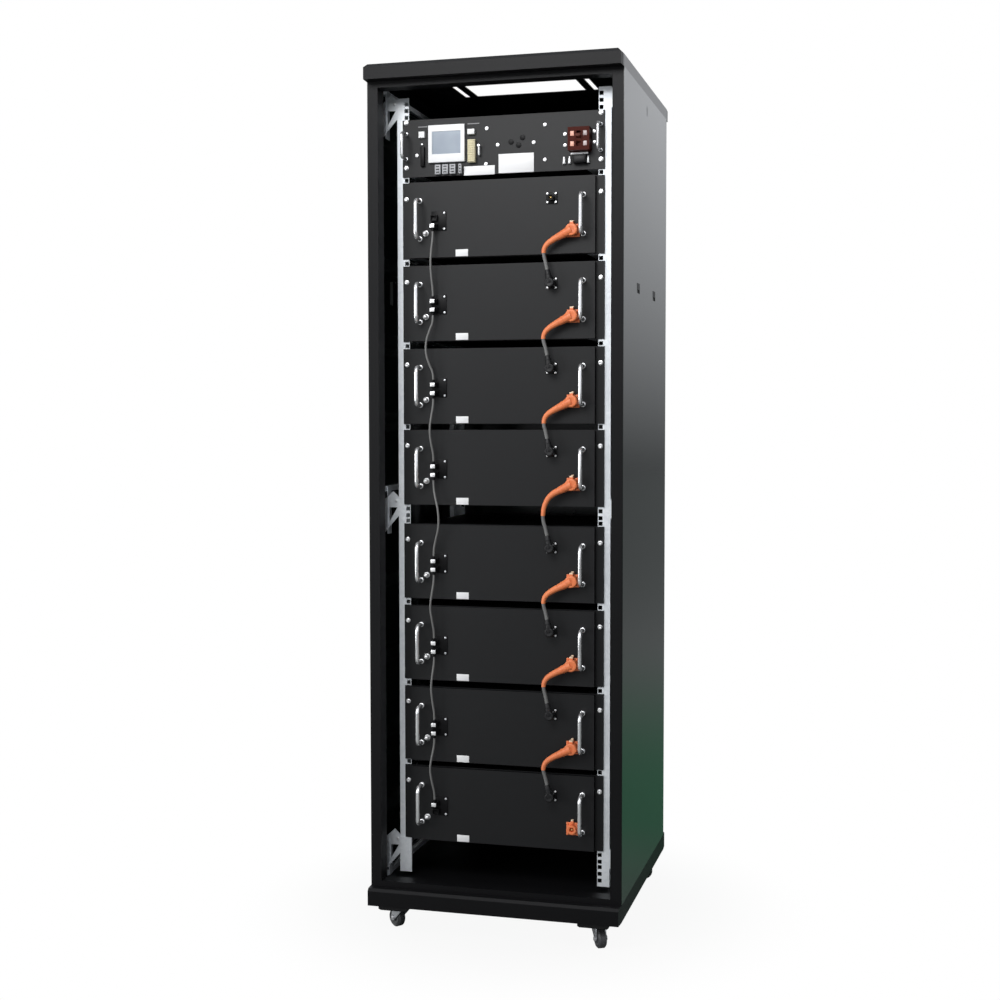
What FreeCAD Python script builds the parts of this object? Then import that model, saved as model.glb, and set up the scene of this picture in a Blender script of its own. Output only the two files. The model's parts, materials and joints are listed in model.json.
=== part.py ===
import FreeCAD, Part
import math
import os
import Sketcher

# Battery storage rack: a 19-inch cabinet on castors, eight battery modules, one control box and their leads.
# Millimetres. X to the right seen from the front, Y to the back, Z up, the floor at Z = 0.

V = FreeCAD.Vector
doc = FreeCAD.newDocument("BatteryRack")
sheet = doc.addObject("Spreadsheet::Sheet", "dim")

# Driving dimensions
SIZES = [
    ("cabinet_width", 600), ("frame_depth", 610), ("nose_depth", 30), ("nose_taper", 2),
    ("castor_height", 70), ("base_height", 40), ("base_wall", 2), ("base_bevel", 6), ("corner_plate", 92),
    ("upright_height", 1873), ("post_width", 26), ("post_depth", 40), ("frame_wall", 2),
    ("top_beam_height", 14), ("sill_height", 12), ("beam_width", 10), ("beam_height", 12),
    ("beam_inset", 5), ("middle_beam_height", 1038), ("lid_height", 35), ("lid_wall", 1.5),
    ("lid_bevel", 8), ("roof_opening_width", 276), ("roof_opening_depth", 124), ("roof_slot_width", 12),
    ("roof_slot_length", 130), ("roof_slot_place", 164), ("panel_skin", 1.5), ("panel_hem", 3),
    ("panel_hem_width", 18), ("panel_gap", 2), ("latch_spread", 113), ("latch_drop", 458),
    ("latch_width", 36), ("latch_height", 15), ("latch_travel", 8), ("latch_plate", 2), ("guide_lip", 1.2),
    ("latch_overlap", 8), ("slide_gap", 0.3), ("lock_slot_width", 6), ("lock_slot_height", 22),
    ("lock_slot_drop", 28), ("door_side_gap", 8), ("door_end_gap", 2), ("door_depth", 20),
    ("door_stand_off", 5), ("door_skin", 1.5), ("hinge_inset", 16), ("hinge_pin_radius", 3),
    ("hinge_pin_length", 9), ("running_gap", 0.05), ("hinge_collar_radius", 6), ("lock_inset", 42),
    ("lock_height", 1030), ("lock_head_radius", 12), ("lock_head_height", 3), ("lock_shaft_radius", 6),
    ("lock_cam_length", 32), ("lock_cam_width", 12), ("lock_cam_thick", 3), ("rail_flange", 29),
    ("rail_side_room", 44.5), ("rail_web", 45), ("rail_lip", 12), ("rail_wall", 2),
    ("rail_gap", "=cabinet_width - 2 * rail_flange - 2 * rail_side_room"), ("rail_lift", 13),
    ("rail_recess", 85), ("rear_rail_recess", 65), ("rail_margin", 7.4), ("rack_units", 41),
    ("unit_pitch", 44.45), ("hole_pitch", 15.875), ("first_hole", 6.35), ("hole_side", 9.5),
    ("ear_hole_inset", 6), ("ear_hole_spacing", "=rail_gap + 2 * ear_hole_inset"), ("bracket_height", 102),
    ("bracket_shoulder", 80), ("bracket_peak_inset", 14.5), ("bracket_rail_high", 87.5),
    ("bracket_rail_low", 45), ("bracket_leg", 15), ("bracket_rim", 4.5), ("bracket_hole_low", 29.5),
    ("bracket_hole_high", 63.5), ("bracket_wall", 2), ("bracket_fold", 26), ("rail_foot_height", 83),
    ("ear_lap", 14.8), ("ear_width", "=rail_gap + 2 * ear_lap"), ("ear_thick", 3), ("ear_hole_radius", 3.5),
    ("ear_hole_drop", 38.1), ("module_units", 4), ("control_units", 3), ("unit_slack", 0.8),
    ("face_side_gap", 5), ("face_width", "=rail_gap - 2 * face_side_gap"), ("face_proud", 12),
    ("face_wall", 1.5), ("face_margin", 1), ("face_lap", 0.5), ("case_side_gap", 7.5),
    ("case_width", "=rail_gap - 2 * case_side_gap"), ("case_depth", 430), ("case_wall", 1.5),
    ("case_lift", 3), ("case_top_gap", 3), ("runner_wall", 2), ("runner_height", 30), ("runner_shelf", 30),
    ("cell_depth", 160), ("cell_height", 118), ("cell_gap", 0.5), ("cells_across", 8),
    ("cell_side_room", 15.75),
    ("cell_row_width", "=case_width - 2 * case_wall - 2 * cell_side_room + cell_gap"),
    ("cell_width", "=cell_row_width / cells_across - cell_gap"), ("cell_row_gap", 8),
    ("cell_front_gap", 40), ("busbar_width", 74), ("busbar_depth", 20), ("busbar_thick", 2),
    ("busbar_inset", 12), ("board_width", 300), ("board_depth", 60), ("board_thick", 12),
    ("handle_inset", 26.5), ("handle_place", "=face_width / 2 - handle_inset"), ("handle_spacing", 88),
    ("handle_reach", 35), ("handle_radius", 4.75), ("handle_bend", 9), ("handle_foot_radius", 7),
    ("handle_foot_height", 2.5), ("small_handle_inset", 7.3),
    ("small_handle_place", "=ear_width / 2 - small_handle_inset"), ("small_handle_spacing", 58),
    ("small_handle_radius", 3.5), ("small_handle_rise", 4.5), ("screw_head_radius", 5.2),
    ("screw_head_height", 4), ("screw_radius", 3), ("screw_length", 14), ("positive_inset", 49.8),
    ("positive_place", "=face_width / 2 - positive_inset"), ("positive_drop", 125.3),
    ("positive_flange", 30), ("positive_barrel", 10.5), ("positive_bore", 5.5), ("negative_inset", 100.5),
    ("negative_place", "=face_width / 2 - negative_inset"), ("negative_drop", 50), ("negative_flange", 26),
    ("negative_barrel", 7.5), ("negative_bore", 4.5), ("negative_screw_spacing", 19), ("socket_flange", 3),
    ("socket_barrel_length", 12), ("socket_bore_depth", 12), ("socket_tail", 14),
    ("positive_plug_radius", 14), ("positive_plug_length", 24), ("negative_plug_radius", 11),
    ("negative_plug_length", 26), ("plug_gap", 0.3), ("boot_reach", 34), ("boot_root_radius", 11),
    ("boot_end_radius", 8), ("small_boot_reach", 30), ("small_boot_root_radius", 9),
    ("small_boot_end_radius", 5.5), ("power_lead_radius", 4.25), ("power_lead_run", 17),
    ("positive_exit_angle", 26), ("negative_exit_angle", 101.5), ("plug_tab_width", 8),
    ("plug_tab_length", 14), ("plug_tab_height", 8), ("plug_tab_set_back", 4), ("plug_tab_sink", 2),
    ("port_plate_inset", 72.5), ("port_plate_place", "=face_width / 2 - port_plate_inset"),
    ("port_plate_width", 36), ("port_plate_height", 45), ("port_plate_drop", 70), ("port_plate_thick", 2),
    ("port_inset", 62.5), ("port_place", "=face_width / 2 - port_inset"), ("port_drop", 86),
    ("port_spacing", 20), ("port_width", 16), ("port_height", 14), ("port_depth", 8), ("port_wall", 2),
    ("signal_plug_depth", 14), ("signal_plug_nose", 6), ("signal_boot_radius", 3.6),
    ("signal_boot_length", 6), ("signal_lead_radius", 2.5), ("signal_lead_run", 16), ("earth_inset", 40.5),
    ("earth_place", "=face_width / 2 - earth_inset"), ("earth_drop", 120.6), ("earth_radius", 6.5),
    ("earth_height", 6), ("earth_washer_radius", 8.5), ("earth_washer_height", 1.5),
    ("control_case_depth", 320), ("control_case_height", 124), ("control_wall", 1.5), ("meter_inset", 89.3),
    ("meter_place", "=face_width / 2 - meter_inset"), ("meter_rise", 7.5), ("meter_width", 88.5),
    ("meter_height", 86.5), ("meter_proud", 8), ("meter_screen_width", 69.5), ("meter_screen_height", 52.5),
    ("meter_screen_rise", 2.2), ("meter_screen_depth", 2), ("meter_body_width", 80),
    ("meter_body_height", 76), ("meter_body_depth", 45), ("breaker_inset", 36),
    ("breaker_place", "=face_width / 2 - breaker_inset"), ("breaker_rise", 0.3), ("breaker_width", 50),
    ("breaker_height", 52), ("breaker_proud", 26), ("breaker_tail", 40), ("breaker_slot_height", 34),
    ("breaker_window_width", 9), ("breaker_window_height", 11), ("breaker_window_depth", 4),
    ("lever_width", 10), ("lever_radius", 8), ("lever_reach", 19), ("lever_thick", 6),
    ("lever_rest_angle", 20), ("button_inset", 28.8), ("button_place", "=face_width / 2 - button_inset"),
    ("button_rise", 30.5), ("button_side", 14), ("button_proud", 7), ("button_travel", 3),
    ("button_tail", 9), ("button_flange", 2), ("castor_inset", 62),
    ("castor_place_x", "=cabinet_width / 2 - castor_inset"), ("castor_end_inset", 40),
    ("castor_place_y", "=frame_depth / 2 - castor_end_inset"), ("castor_block", 72),
    ("castor_block_reach", 62), ("castor_block_height", 12), ("castor_block_bevel", 4), ("race_radius", 17),
    ("race_height", 6), ("fork_crown", 3), ("fork_leg", 2.5), ("fork_length", 38), ("castor_trail", 17),
    ("wheel_radius", 22), ("wheel_width", 19), ("wheel_bevel", 3), ("hub_width", 20.4), ("hub_radius", 9),
    ("axle_radius", 4), ("axle_boss_radius", 7), ("stem_radius", 6), ("stem_length", 7), ("fork_gap", 0.3),
]
for row, (alias, number) in enumerate(SIZES, start=1):
    sheet.set("A%d" % row, alias)
    sheet.set("B%d" % row, str(number))
    sheet.setAlias("B%d" % row, alias)
doc.recompute()
ruler = doc.addObject("Part::Feature", "ruler")

# Levels and planes that many pieces share, as formulas of the sheet
HALF = "dim.cabinet_width / 2"
FRONT = "(-dim.frame_depth / 2)"
BACK = "(dim.frame_depth / 2)"
NOSE = "(dim.frame_depth / 2 + dim.nose_depth)"
BASE_TOP = "(dim.castor_height + dim.base_height)"
LID_LOW = "(dim.castor_height + dim.base_height + dim.upright_height)"
RAIL_Y = "(dim.rail_recess - dim.frame_depth / 2)"
REAR_RAIL_Y = "(dim.frame_depth / 2 - dim.rear_rail_recess)"
EAR_Y = "(dim.rail_recess - dim.frame_depth / 2 - dim.ear_thick)"
FACE_Y = "(dim.rail_recess - dim.frame_depth / 2 - dim.ear_thick - dim.face_proud)"
EAR_HEIGHT = "(dim.module_units * dim.unit_pitch - dim.unit_slack)"
CASE_LOW = "(-dim.module_units * dim.unit_pitch + dim.unit_slack / 2 + dim.case_lift)"
CASE_HIGH = "(-dim.unit_slack / 2 - dim.case_top_gap)"
CONTROL_MID = "(-dim.control_units * dim.unit_pitch / 2)"
PINS = {"x": (V(0, 1, 0), 90), "y": (V(1, 0, 0), -90), "z": (V(0, 0, 1), 0)}

pieces = {}


def value(formula):
    """Number that a formula of the sheet gives."""
    return float(ruler.evalExpression(str(formula)))


def place(item, base, turn=None):
    """Put an item at three formulas, turned as given."""
    if turn is not None:
        item.Placement = FreeCAD.Placement(V(0, 0, 0), turn)
    for axis, formula in zip("xyz", base):
        item.setExpression("Placement.Base." + axis, str(formula))
    return item


def block(name, low, span):
    """Box from its low corner and its three sides."""
    box = doc.addObject("Part::Box", name)
    for side, formula in zip(("Length", "Width", "Height"), span):
        box.setExpression(side, str(formula))
    return place(box, low)


def centred(name, middle, low, span):
    """Box centred on X at one formula."""
    return block(name, ("%s - (%s) / 2" % (middle, span[0]), low[0], low[1]), span)


def rod(name, base, radius, length, along="z"):
    """Cylinder that starts at a point and runs along an axis."""
    item = doc.addObject("Part::Cylinder", name)
    item.setExpression("Radius", str(radius))
    item.setExpression("Height", str(length))
    return place(item, base, FreeCAD.Rotation(*PINS[along]))


def cut(name, base, *tools):
    item = doc.addObject("Part::Cut", name)
    item.Base = base
    item.Tool = tools[0] if len(tools) == 1 else join(name + "_tools", *tools)
    return item


def join(name, *items):
    item = doc.addObject("Part::MultiFuse", name)
    item.Shapes = list(items)
    item.Refine = True
    return item


def outline(body, name, plane, corners):
    """Closed sketch of straight sides whose corners follow their formulas."""
    sketch = body.newObject("Sketcher::SketchObject", name)
    sketch.AttachmentSupport = [([f for f in body.Origin.OriginFeatures if f.Role == plane][0], "")]
    sketch.MapMode = "FlatFace"
    points = [V(value(x), value(y), 0) for x, y in corners]
    for start, end in zip(points, points[1:] + points[:1]):
        sketch.addGeometry(Part.LineSegment(start, end))
    for side, corner in enumerate(corners):
        sketch.addConstraint(Sketcher.Constraint("Coincident", side, 2, (side + 1) % len(corners), 1))
        for way, formula, number in zip("XY", corner, points[side]):
            index = sketch.addConstraint(Sketcher.Constraint("Distance" + way, -1, 1, side, 1, number))
            label = "corner%d%s" % (side, way)
            sketch.renameConstraint(index, label)
            sketch.setExpression("Constraints." + label, str(formula))
    return sketch


def padded(name, plane, corners, length, holes=()):
    """Body of one outline with its holes, padded along its plane's normal."""
    body = doc.addObject("PartDesign::Body", name)
    pad = body.newObject("PartDesign::Pad", name + "_pad")
    pad.Profile = outline(body, name + "_outline", plane, corners)
    pad.setExpression("Length", str(length))
    pad.Reversed = plane == "XZ_Plane"
    for number, hole in enumerate(holes):
        pocket = body.newObject("PartDesign::Pocket", "%s_hole%d" % (name, number))
        pocket.Profile = outline(body, "%s_hole_outline%d" % (name, number), plane, hole)
        pocket.Type = "ThroughAll"
        pocket.Midplane = True
    return body


def turned(name, corners):
    """Body turned about its own Z from radius and height corners."""
    body = doc.addObject("PartDesign::Body", name)
    sketch = outline(body, name + "_outline", "XZ_Plane", corners)
    spin = body.newObject("PartDesign::Revolution", name + "_turn")
    spin.Profile = sketch
    spin.ReferenceAxis = (sketch, ["V_Axis"])
    return body


def bevelled(body, name, size, test):
    """Chamfer on those edges of a body whose two ends pass a test."""
    doc.recompute()
    solid = body.Tip
    names = []
    for number, edge in enumerate(solid.Shape.Edges, start=1):
        if test(*[vertex.Point for vertex in edge.Vertexes]):
            names.append("Edge%d" % number)
    bevel = body.newObject("PartDesign::Chamfer", name)
    bevel.Base = (solid, names)
    bevel.setExpression("Size", size)
    body.Tip = bevel


def piece(label, item):
    """Keep an item as a sub-part under its own name."""
    item.Label = label
    pieces[label] = item
    return item


def group(label, shapes):
    """Like pieces that share one node, each a solid of its own."""
    item = doc.addObject("Part::Feature", label + "_set")
    item.Shape = Part.makeCompound(shapes)
    return piece(label, item)


def at(item, x=0, y=0, z=0):
    """Copy of an item's shape, moved."""
    shape = item.Shape.copy()
    shape.translate(V(x, y, z))
    return shape


def mirrored(shape):
    return shape.mirror(V(0, 0, 0), V(1, 0, 0))


# Heights of the rail holes, counted from the lowest, and of what is bolted to them
HOLES_PER_UNIT = 3
MODULE_STEP = 13
GAP_HOLES = 2
LOWEST_MODULE_HOLE = 14
MODULES_ABOVE_GAP = 4
MODULES = 8
CONTROL_TOP_HOLE = 119
CONTROL_LOW_HOLE = 112


def hole_height(index):
    unit, step = divmod(index, HOLES_PER_UNIT)
    low = value(BASE_TOP) + value("dim.rail_lift + dim.rail_margin + dim.first_hole")
    return low + unit * value("dim.unit_pitch") + step * value("dim.hole_pitch")


def module_hole(number):
    """Rail hole of a module's ear screw, module 0 at the top."""
    from_low = MODULES - 1 - number
    gap = GAP_HOLES if number < MODULES_ABOVE_GAP else 0
    return LOWEST_MODULE_HOLE + MODULE_STEP * from_low + gap


TOPS = [hole_height(module_hole(number)) + value("dim.ear_hole_drop") for number in range(MODULES)]
CONTROL_TOP = hole_height(CONTROL_TOP_HOLE) + value("dim.first_hole")


def plan(inset="0"):
    """Plan of the plinth and the lid: straight sides, and a nose with tapered ends at each end."""
    side = "(%s - %s)" % (HALF, inset)
    tip = "(%s - dim.nose_taper - %s)" % (HALF, inset)
    nose = "(%s - %s)" % (NOSE, inset)
    return [
        ("-" + side, FRONT), ("-" + tip, "-" + nose), (tip, "-" + nose), (side, FRONT),
        (side, BACK), (tip, nose), ("-" + tip, nose), ("-" + side, BACK),
    ]


HINGE_X = "(dim.cabinet_width / 2 - dim.hinge_inset)"
HINGE_Y = "(dim.frame_depth / 2 + dim.door_stand_off + dim.door_depth / 2)"


def hinge_pin(name, level, way):
    """Door pin with its collar, standing up or hanging down from a level."""
    lift = "0" if way > 0 else "-1"
    collar = rod(
        name + "_collar", (HINGE_X, HINGE_Y, "%s + (%s) * dim.door_end_gap" % (level, lift)),
        "dim.hinge_collar_radius", "dim.door_end_gap",
    )
    pin = rod(
        name + "_pin", (HINGE_X, HINGE_Y, "%s + (%s) * dim.hinge_pin_length" % (level, lift)),
        "dim.hinge_pin_radius", "dim.hinge_pin_length",
    )
    return [collar, pin]


# Plinth: folded tray, open below, with a bevelled nose and a plate at each corner for its castor
plinth = padded("plinth", "XY_Plane", plan(), "dim.base_height")
place(plinth, ("0", "0", "dim.castor_height"))
plinth_top = value("dim.base_height")
bevelled(
    plinth, "plinth_bevel", "dim.base_bevel",
    lambda a, b: min(a.z, b.z) > plinth_top - 0.1 and min(abs(a.y), abs(b.y)) > value(BACK) + 1,
)
plinth_void = padded(
    "plinth_void", "XY_Plane", plan("dim.base_wall"), "dim.base_height - dim.base_bevel - dim.base_wall"
)
place(plinth_void, ("0", "0", "dim.castor_height"))
corner_plates = [
    block(
        "corner_plate%d%d" % (side > 0, end > 0),
        (
            "%d * dim.castor_place_x - dim.corner_plate / 2" % side,
            "%d * dim.castor_place_y - dim.corner_plate / 2" % end,
            "dim.castor_height",
        ),
        ("dim.corner_plate", "dim.corner_plate", "dim.base_height - dim.base_wall"),
    )
    for side in (-1, 1) for end in (-1, 1)
]
base_plinth = join(
    "base_solid", cut("plinth_shell", plinth, plinth_void), *corner_plates,
    *hinge_pin("base_hinge", BASE_TOP, 1)
)
piece("base_plinth", base_plinth)


def frame(name, low):
    """Welded upright frame: two tube posts, a top beam and a sill."""
    inside = "(dim.cabinet_width - 2 * dim.post_width)"
    tube = "(dim.post_width - dim.panel_skin)"
    parts = []
    for side, start in ((0, "dim.panel_skin - " + HALF), (1, HALF + " - dim.post_width")):
        post = block("%s_post%d" % (name, side), (start, low, BASE_TOP),
            (tube, "dim.post_depth", "dim.upright_height"))
        bore = block(
            "%s_bore%d" % (name, side), (start + " + dim.frame_wall", low + " + dim.frame_wall", BASE_TOP),
            (tube + " - 2 * dim.frame_wall", "dim.post_depth - 2 * dim.frame_wall", "dim.upright_height"),
        )
        parts.append(cut("%s_tube%d" % (name, side), post, bore))
    parts.append(centred(name + "_sill", "0", (low, BASE_TOP),
        (inside, "dim.post_depth", "dim.sill_height")))
    parts.append(
        centred(
            name + "_beam", "0", (low, LID_LOW + " - dim.top_beam_height"),
            (inside, "dim.post_depth", "dim.top_beam_height")
        )
    )
    return join(name + "_solid", *parts)


piece("front_frame", frame("front", FRONT))
piece("rear_frame", frame("rear", BACK + " - dim.post_depth"))

# Depth beams: tubes that tie the two frames and carry the rail brackets
BEAM_LOW = [BASE_TOP, "dim.middle_beam_height", LID_LOW + " - dim.beam_height"]
BEAM_X = "(dim.cabinet_width / 2 - dim.beam_inset - dim.beam_width)"
beam = cut(
    "beam_tube",
    block(
        "beam_block", (BEAM_X, FRONT + " + dim.post_depth", "0"),
        ("dim.beam_width", "dim.frame_depth - 2 * dim.post_depth", "dim.beam_height"),
    ),
    block(
        "beam_bore", (BEAM_X + " + dim.frame_wall", FRONT + " + dim.post_depth", "dim.frame_wall"),
        (
            "dim.beam_width - 2 * dim.frame_wall", "dim.frame_depth - 2 * dim.post_depth",
            "dim.beam_height - 2 * dim.frame_wall",
        ),
    ),
)
doc.recompute()
beams = [at(beam, z=value(low)) for low in BEAM_LOW]
group("depth_beams", beams + [mirrored(shape) for shape in beams])

# Lid: shell with a skirt, bevelled on top, with a cable opening and two vent slots in the roof
lid = padded("lid", "XY_Plane", plan(), "dim.lid_height")
place(lid, ("0", "0", LID_LOW))
lid_top = value("dim.lid_height")
bevelled(lid, "lid_bevel", "dim.lid_bevel", lambda a, b: min(a.z, b.z) > lid_top - 0.1)
lid_void = padded("lid_void", "XY_Plane", plan("dim.lid_wall"), "dim.lid_height - dim.lid_wall")
place(lid_void, ("0", "0", LID_LOW))
void_top = value("dim.lid_height - dim.lid_wall")
bevelled(
    lid_void, "lid_void_bevel", "dim.lid_bevel - 0.586 * dim.lid_wall",
    lambda a, b: min(a.z, b.z) > void_top - 0.1,
)
roof_cuts = [
    centred(
        "roof_opening", "0", ("-dim.roof_opening_depth / 2", LID_LOW),
        ("dim.roof_opening_width", "dim.roof_opening_depth", "dim.lid_height"),
    )
]
for side in (-1, 1):
    roof_cuts.append(
        centred(
            "roof_slot%d" % (side > 0), "%d * dim.roof_slot_place" % side,
            ("-dim.roof_slot_length / 2", LID_LOW),
            ("dim.roof_slot_width", "dim.roof_slot_length", "dim.lid_height"),
        )
    )
RETURN = "(dim.nose_depth + dim.post_depth)"
returns = [
    centred("lid_return%d" % number, "0", (low, LID_LOW), (
        "dim.cabinet_width - 2 * dim.nose_taper - dim.lid_wall", RETURN + " - dim.lid_wall / 2",
        "dim.lid_wall",
    ))
    for number, low in enumerate(("dim.lid_wall / 2 - " + NOSE, BACK + " - dim.post_depth"))
]
top_cover = join("lid_solid", cut("lid_shell", lid, lid_void, *roof_cuts), *returns,
    *hinge_pin("lid_hinge", LID_LOW, -1))
piece("top_cover", top_cover)

# Side panels: skin with hems, two latch windows with their guides and a lock slot
PANEL_LOW = "(dim.castor_height + dim.base_height)"
SKIN_X = "(dim.cabinet_width / 2 - dim.panel_skin)"
LATCH_TOP = "(" + LID_LOW + " - dim.latch_drop)"
WINDOW_HEIGHT = "(dim.latch_height + dim.latch_travel + 2 * dim.slide_gap)"
PLATE_WIDTH = "(dim.latch_width + 2 * dim.latch_overlap)"
skin = block(
    "panel_skin_sheet", (SKIN_X, FRONT + " + dim.panel_gap", PANEL_LOW),
    ("dim.panel_skin", "dim.frame_depth - dim.panel_gap", "dim.upright_height"),
)
panel_parts = [skin]
GUIDE_THICK = "(dim.latch_plate + 2 * dim.slide_gap)"
GUIDE_LOW = "(" + LATCH_TOP + " - dim.latch_height - 2 * dim.latch_travel - dim.latch_overlap)"
GUIDE_HEIGHT = "(dim.latch_height + 3 * dim.latch_travel + 2 * dim.latch_overlap)"
HEM_DEPTH = "(dim.frame_depth - 2 * dim.post_depth)"
for number, low in enumerate((PANEL_LOW, LID_LOW + " - dim.panel_hem_width")):
    panel_parts.append(
        block(
            "panel_hem%d" % number, (SKIN_X + " - dim.panel_hem", FRONT + " + dim.post_depth", low),
            ("dim.panel_hem", HEM_DEPTH, "dim.panel_hem_width"),
        )
    )
windows = []
sliders = []
for end in (-1, 1):
    middle = "%d * dim.latch_spread" % end
    tag = "front" if end < 0 else "back"
    windows.append(
        block(
            "window_" + tag,
            (SKIN_X, middle + " - dim.latch_width / 2 - dim.slide_gap",
                LATCH_TOP + " - dim.latch_height - dim.latch_travel - dim.slide_gap"),
            ("dim.panel_skin", "dim.latch_width + 2 * dim.slide_gap", WINDOW_HEIGHT),
        )
    )
    for side in (-1, 1):
        edge = "%s + %d * (%s / 2 + dim.slide_gap)" % (middle, side, PLATE_WIDTH)
        for kind, thick, inward, wide in (
            ("guide", GUIDE_THICK, "0", "dim.panel_hem"),
            ("lip", "dim.guide_lip", GUIDE_THICK, "dim.panel_hem + dim.latch_overlap / 2"),
        ):
            start = {
                ("guide", -1): edge + " - dim.panel_hem", ("guide", 1): edge,
                ("lip", -1): edge + " - dim.panel_hem", ("lip", 1): edge + " - dim.latch_overlap / 2",
            }[(kind, side)]
            panel_parts.append(
                block(
                    "%s_%s%d" % (kind, tag, side > 0),
                    ("%s - %s - %s" % (SKIN_X, inward, thick), start, GUIDE_LOW),
                    (thick, wide, GUIDE_HEIGHT),
                )
            )
    # Latch: finger boss in the window, on a plate that slides behind the skin
    boss = block(
        "boss_" + tag, (SKIN_X + " - dim.slide_gap", middle + " - dim.latch_width / 2",
            LATCH_TOP + " - dim.latch_height"),
        ("dim.panel_skin + 2 * dim.slide_gap", "dim.latch_width", "dim.latch_height"),
    )
    plate = block(
        "plate_" + tag,
        (
            SKIN_X + " - dim.slide_gap - dim.latch_plate", middle + " - " + PLATE_WIDTH + " / 2",
            LATCH_TOP + " - dim.latch_height - dim.latch_travel - dim.latch_overlap",
        ),
        ("dim.latch_plate", PLATE_WIDTH, "dim.latch_height + 2 * dim.latch_travel + 2 * dim.latch_overlap"),
    )
    sliders.append((tag, join("slider_" + tag, boss, plate)))
windows.append(
    block(
        "lock_slot", (SKIN_X, "-dim.lock_slot_width / 2",
            LID_LOW + " - dim.lock_slot_drop - dim.lock_slot_height"),
        ("dim.panel_skin", "dim.lock_slot_width", "dim.lock_slot_height"),
    )
)


def mirror_of(name, source):
    item = doc.addObject("Part::Mirroring", name)
    item.Source = source
    item.Normal = V(1, 0, 0)
    return item


right_panel = cut("right_panel", join("right_panel_sheet", *panel_parts), *windows)
piece("side_panel_right", right_panel)
piece("side_panel_left", mirror_of("left_panel", right_panel))
for tag, slider in sliders:
    piece("side_latch_right_" + tag, slider)
    piece("side_latch_left_" + tag, mirror_of("left_latch_" + tag, slider))

# Rear door: pan that turns on the two pins, with a quarter-turn lock
DOOR_Y = "(dim.frame_depth / 2 + dim.door_stand_off)"
DOOR_WIDTH = "(dim.cabinet_width - 2 * dim.door_side_gap)"
DOOR_LOW = "(" + BASE_TOP + " + dim.door_end_gap)"
DOOR_HEIGHT = "(dim.upright_height - 2 * dim.door_end_gap)"
door_pan = cut(
    "door_pan",
    centred("door_block", "0", (DOOR_Y, DOOR_LOW), (DOOR_WIDTH, "dim.door_depth", DOOR_HEIGHT)),
    centred(
        "door_void", "0", (DOOR_Y, DOOR_LOW + " + dim.door_skin"),
        (DOOR_WIDTH + " - 2 * dim.door_skin", "dim.door_depth - dim.door_skin",
            DOOR_HEIGHT + " - 2 * dim.door_skin"),
    ),
    rod("door_pin_hole", (HINGE_X, HINGE_Y, BASE_TOP), "dim.hinge_pin_radius + dim.running_gap",
        "dim.upright_height"),
    rod(
        "door_lock_hole", ("dim.lock_inset - " + HALF, DOOR_Y, "dim.lock_height"),
        "dim.lock_shaft_radius + dim.running_gap", "dim.door_depth", "y",
    ),
)
piece("rear_door", door_pan)
CAM_Y = "(dim.frame_depth / 2 - dim.post_depth - dim.lock_cam_thick - dim.slide_gap)"
LOCK_X = "(dim.lock_inset - dim.cabinet_width / 2)"
lock = join(
    "lock_solid",
    rod(
        "lock_head", (LOCK_X, DOOR_Y + " + dim.door_depth", "dim.lock_height"), "dim.lock_head_radius",
        "dim.lock_head_height", "y",
    ),
    rod(
        "lock_shaft", (LOCK_X, CAM_Y, "dim.lock_height"), "dim.lock_shaft_radius",
        DOOR_Y + " + dim.door_depth - " + CAM_Y, "y",
    ),
    centred(
        "lock_cam", LOCK_X, (CAM_Y, "dim.lock_height - dim.lock_cam_width / 2"),
        ("dim.lock_cam_width", "dim.lock_cam_thick", "dim.lock_cam_length"),
    ),
)
piece("rear_door_lock", lock)

# Mounting rails: C sections with three square holes in each rack unit at the front, one at the back
RAIL_LOW = "(" + BASE_TOP + " + dim.rail_lift)"
RAIL_LENGTH = "(dim.rack_units * dim.unit_pitch + 2 * dim.rail_margin)"
RAIL_IN = "(dim.rail_gap / 2)"
RAIL_OUT = "(dim.rail_gap / 2 + dim.rail_flange)"


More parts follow.
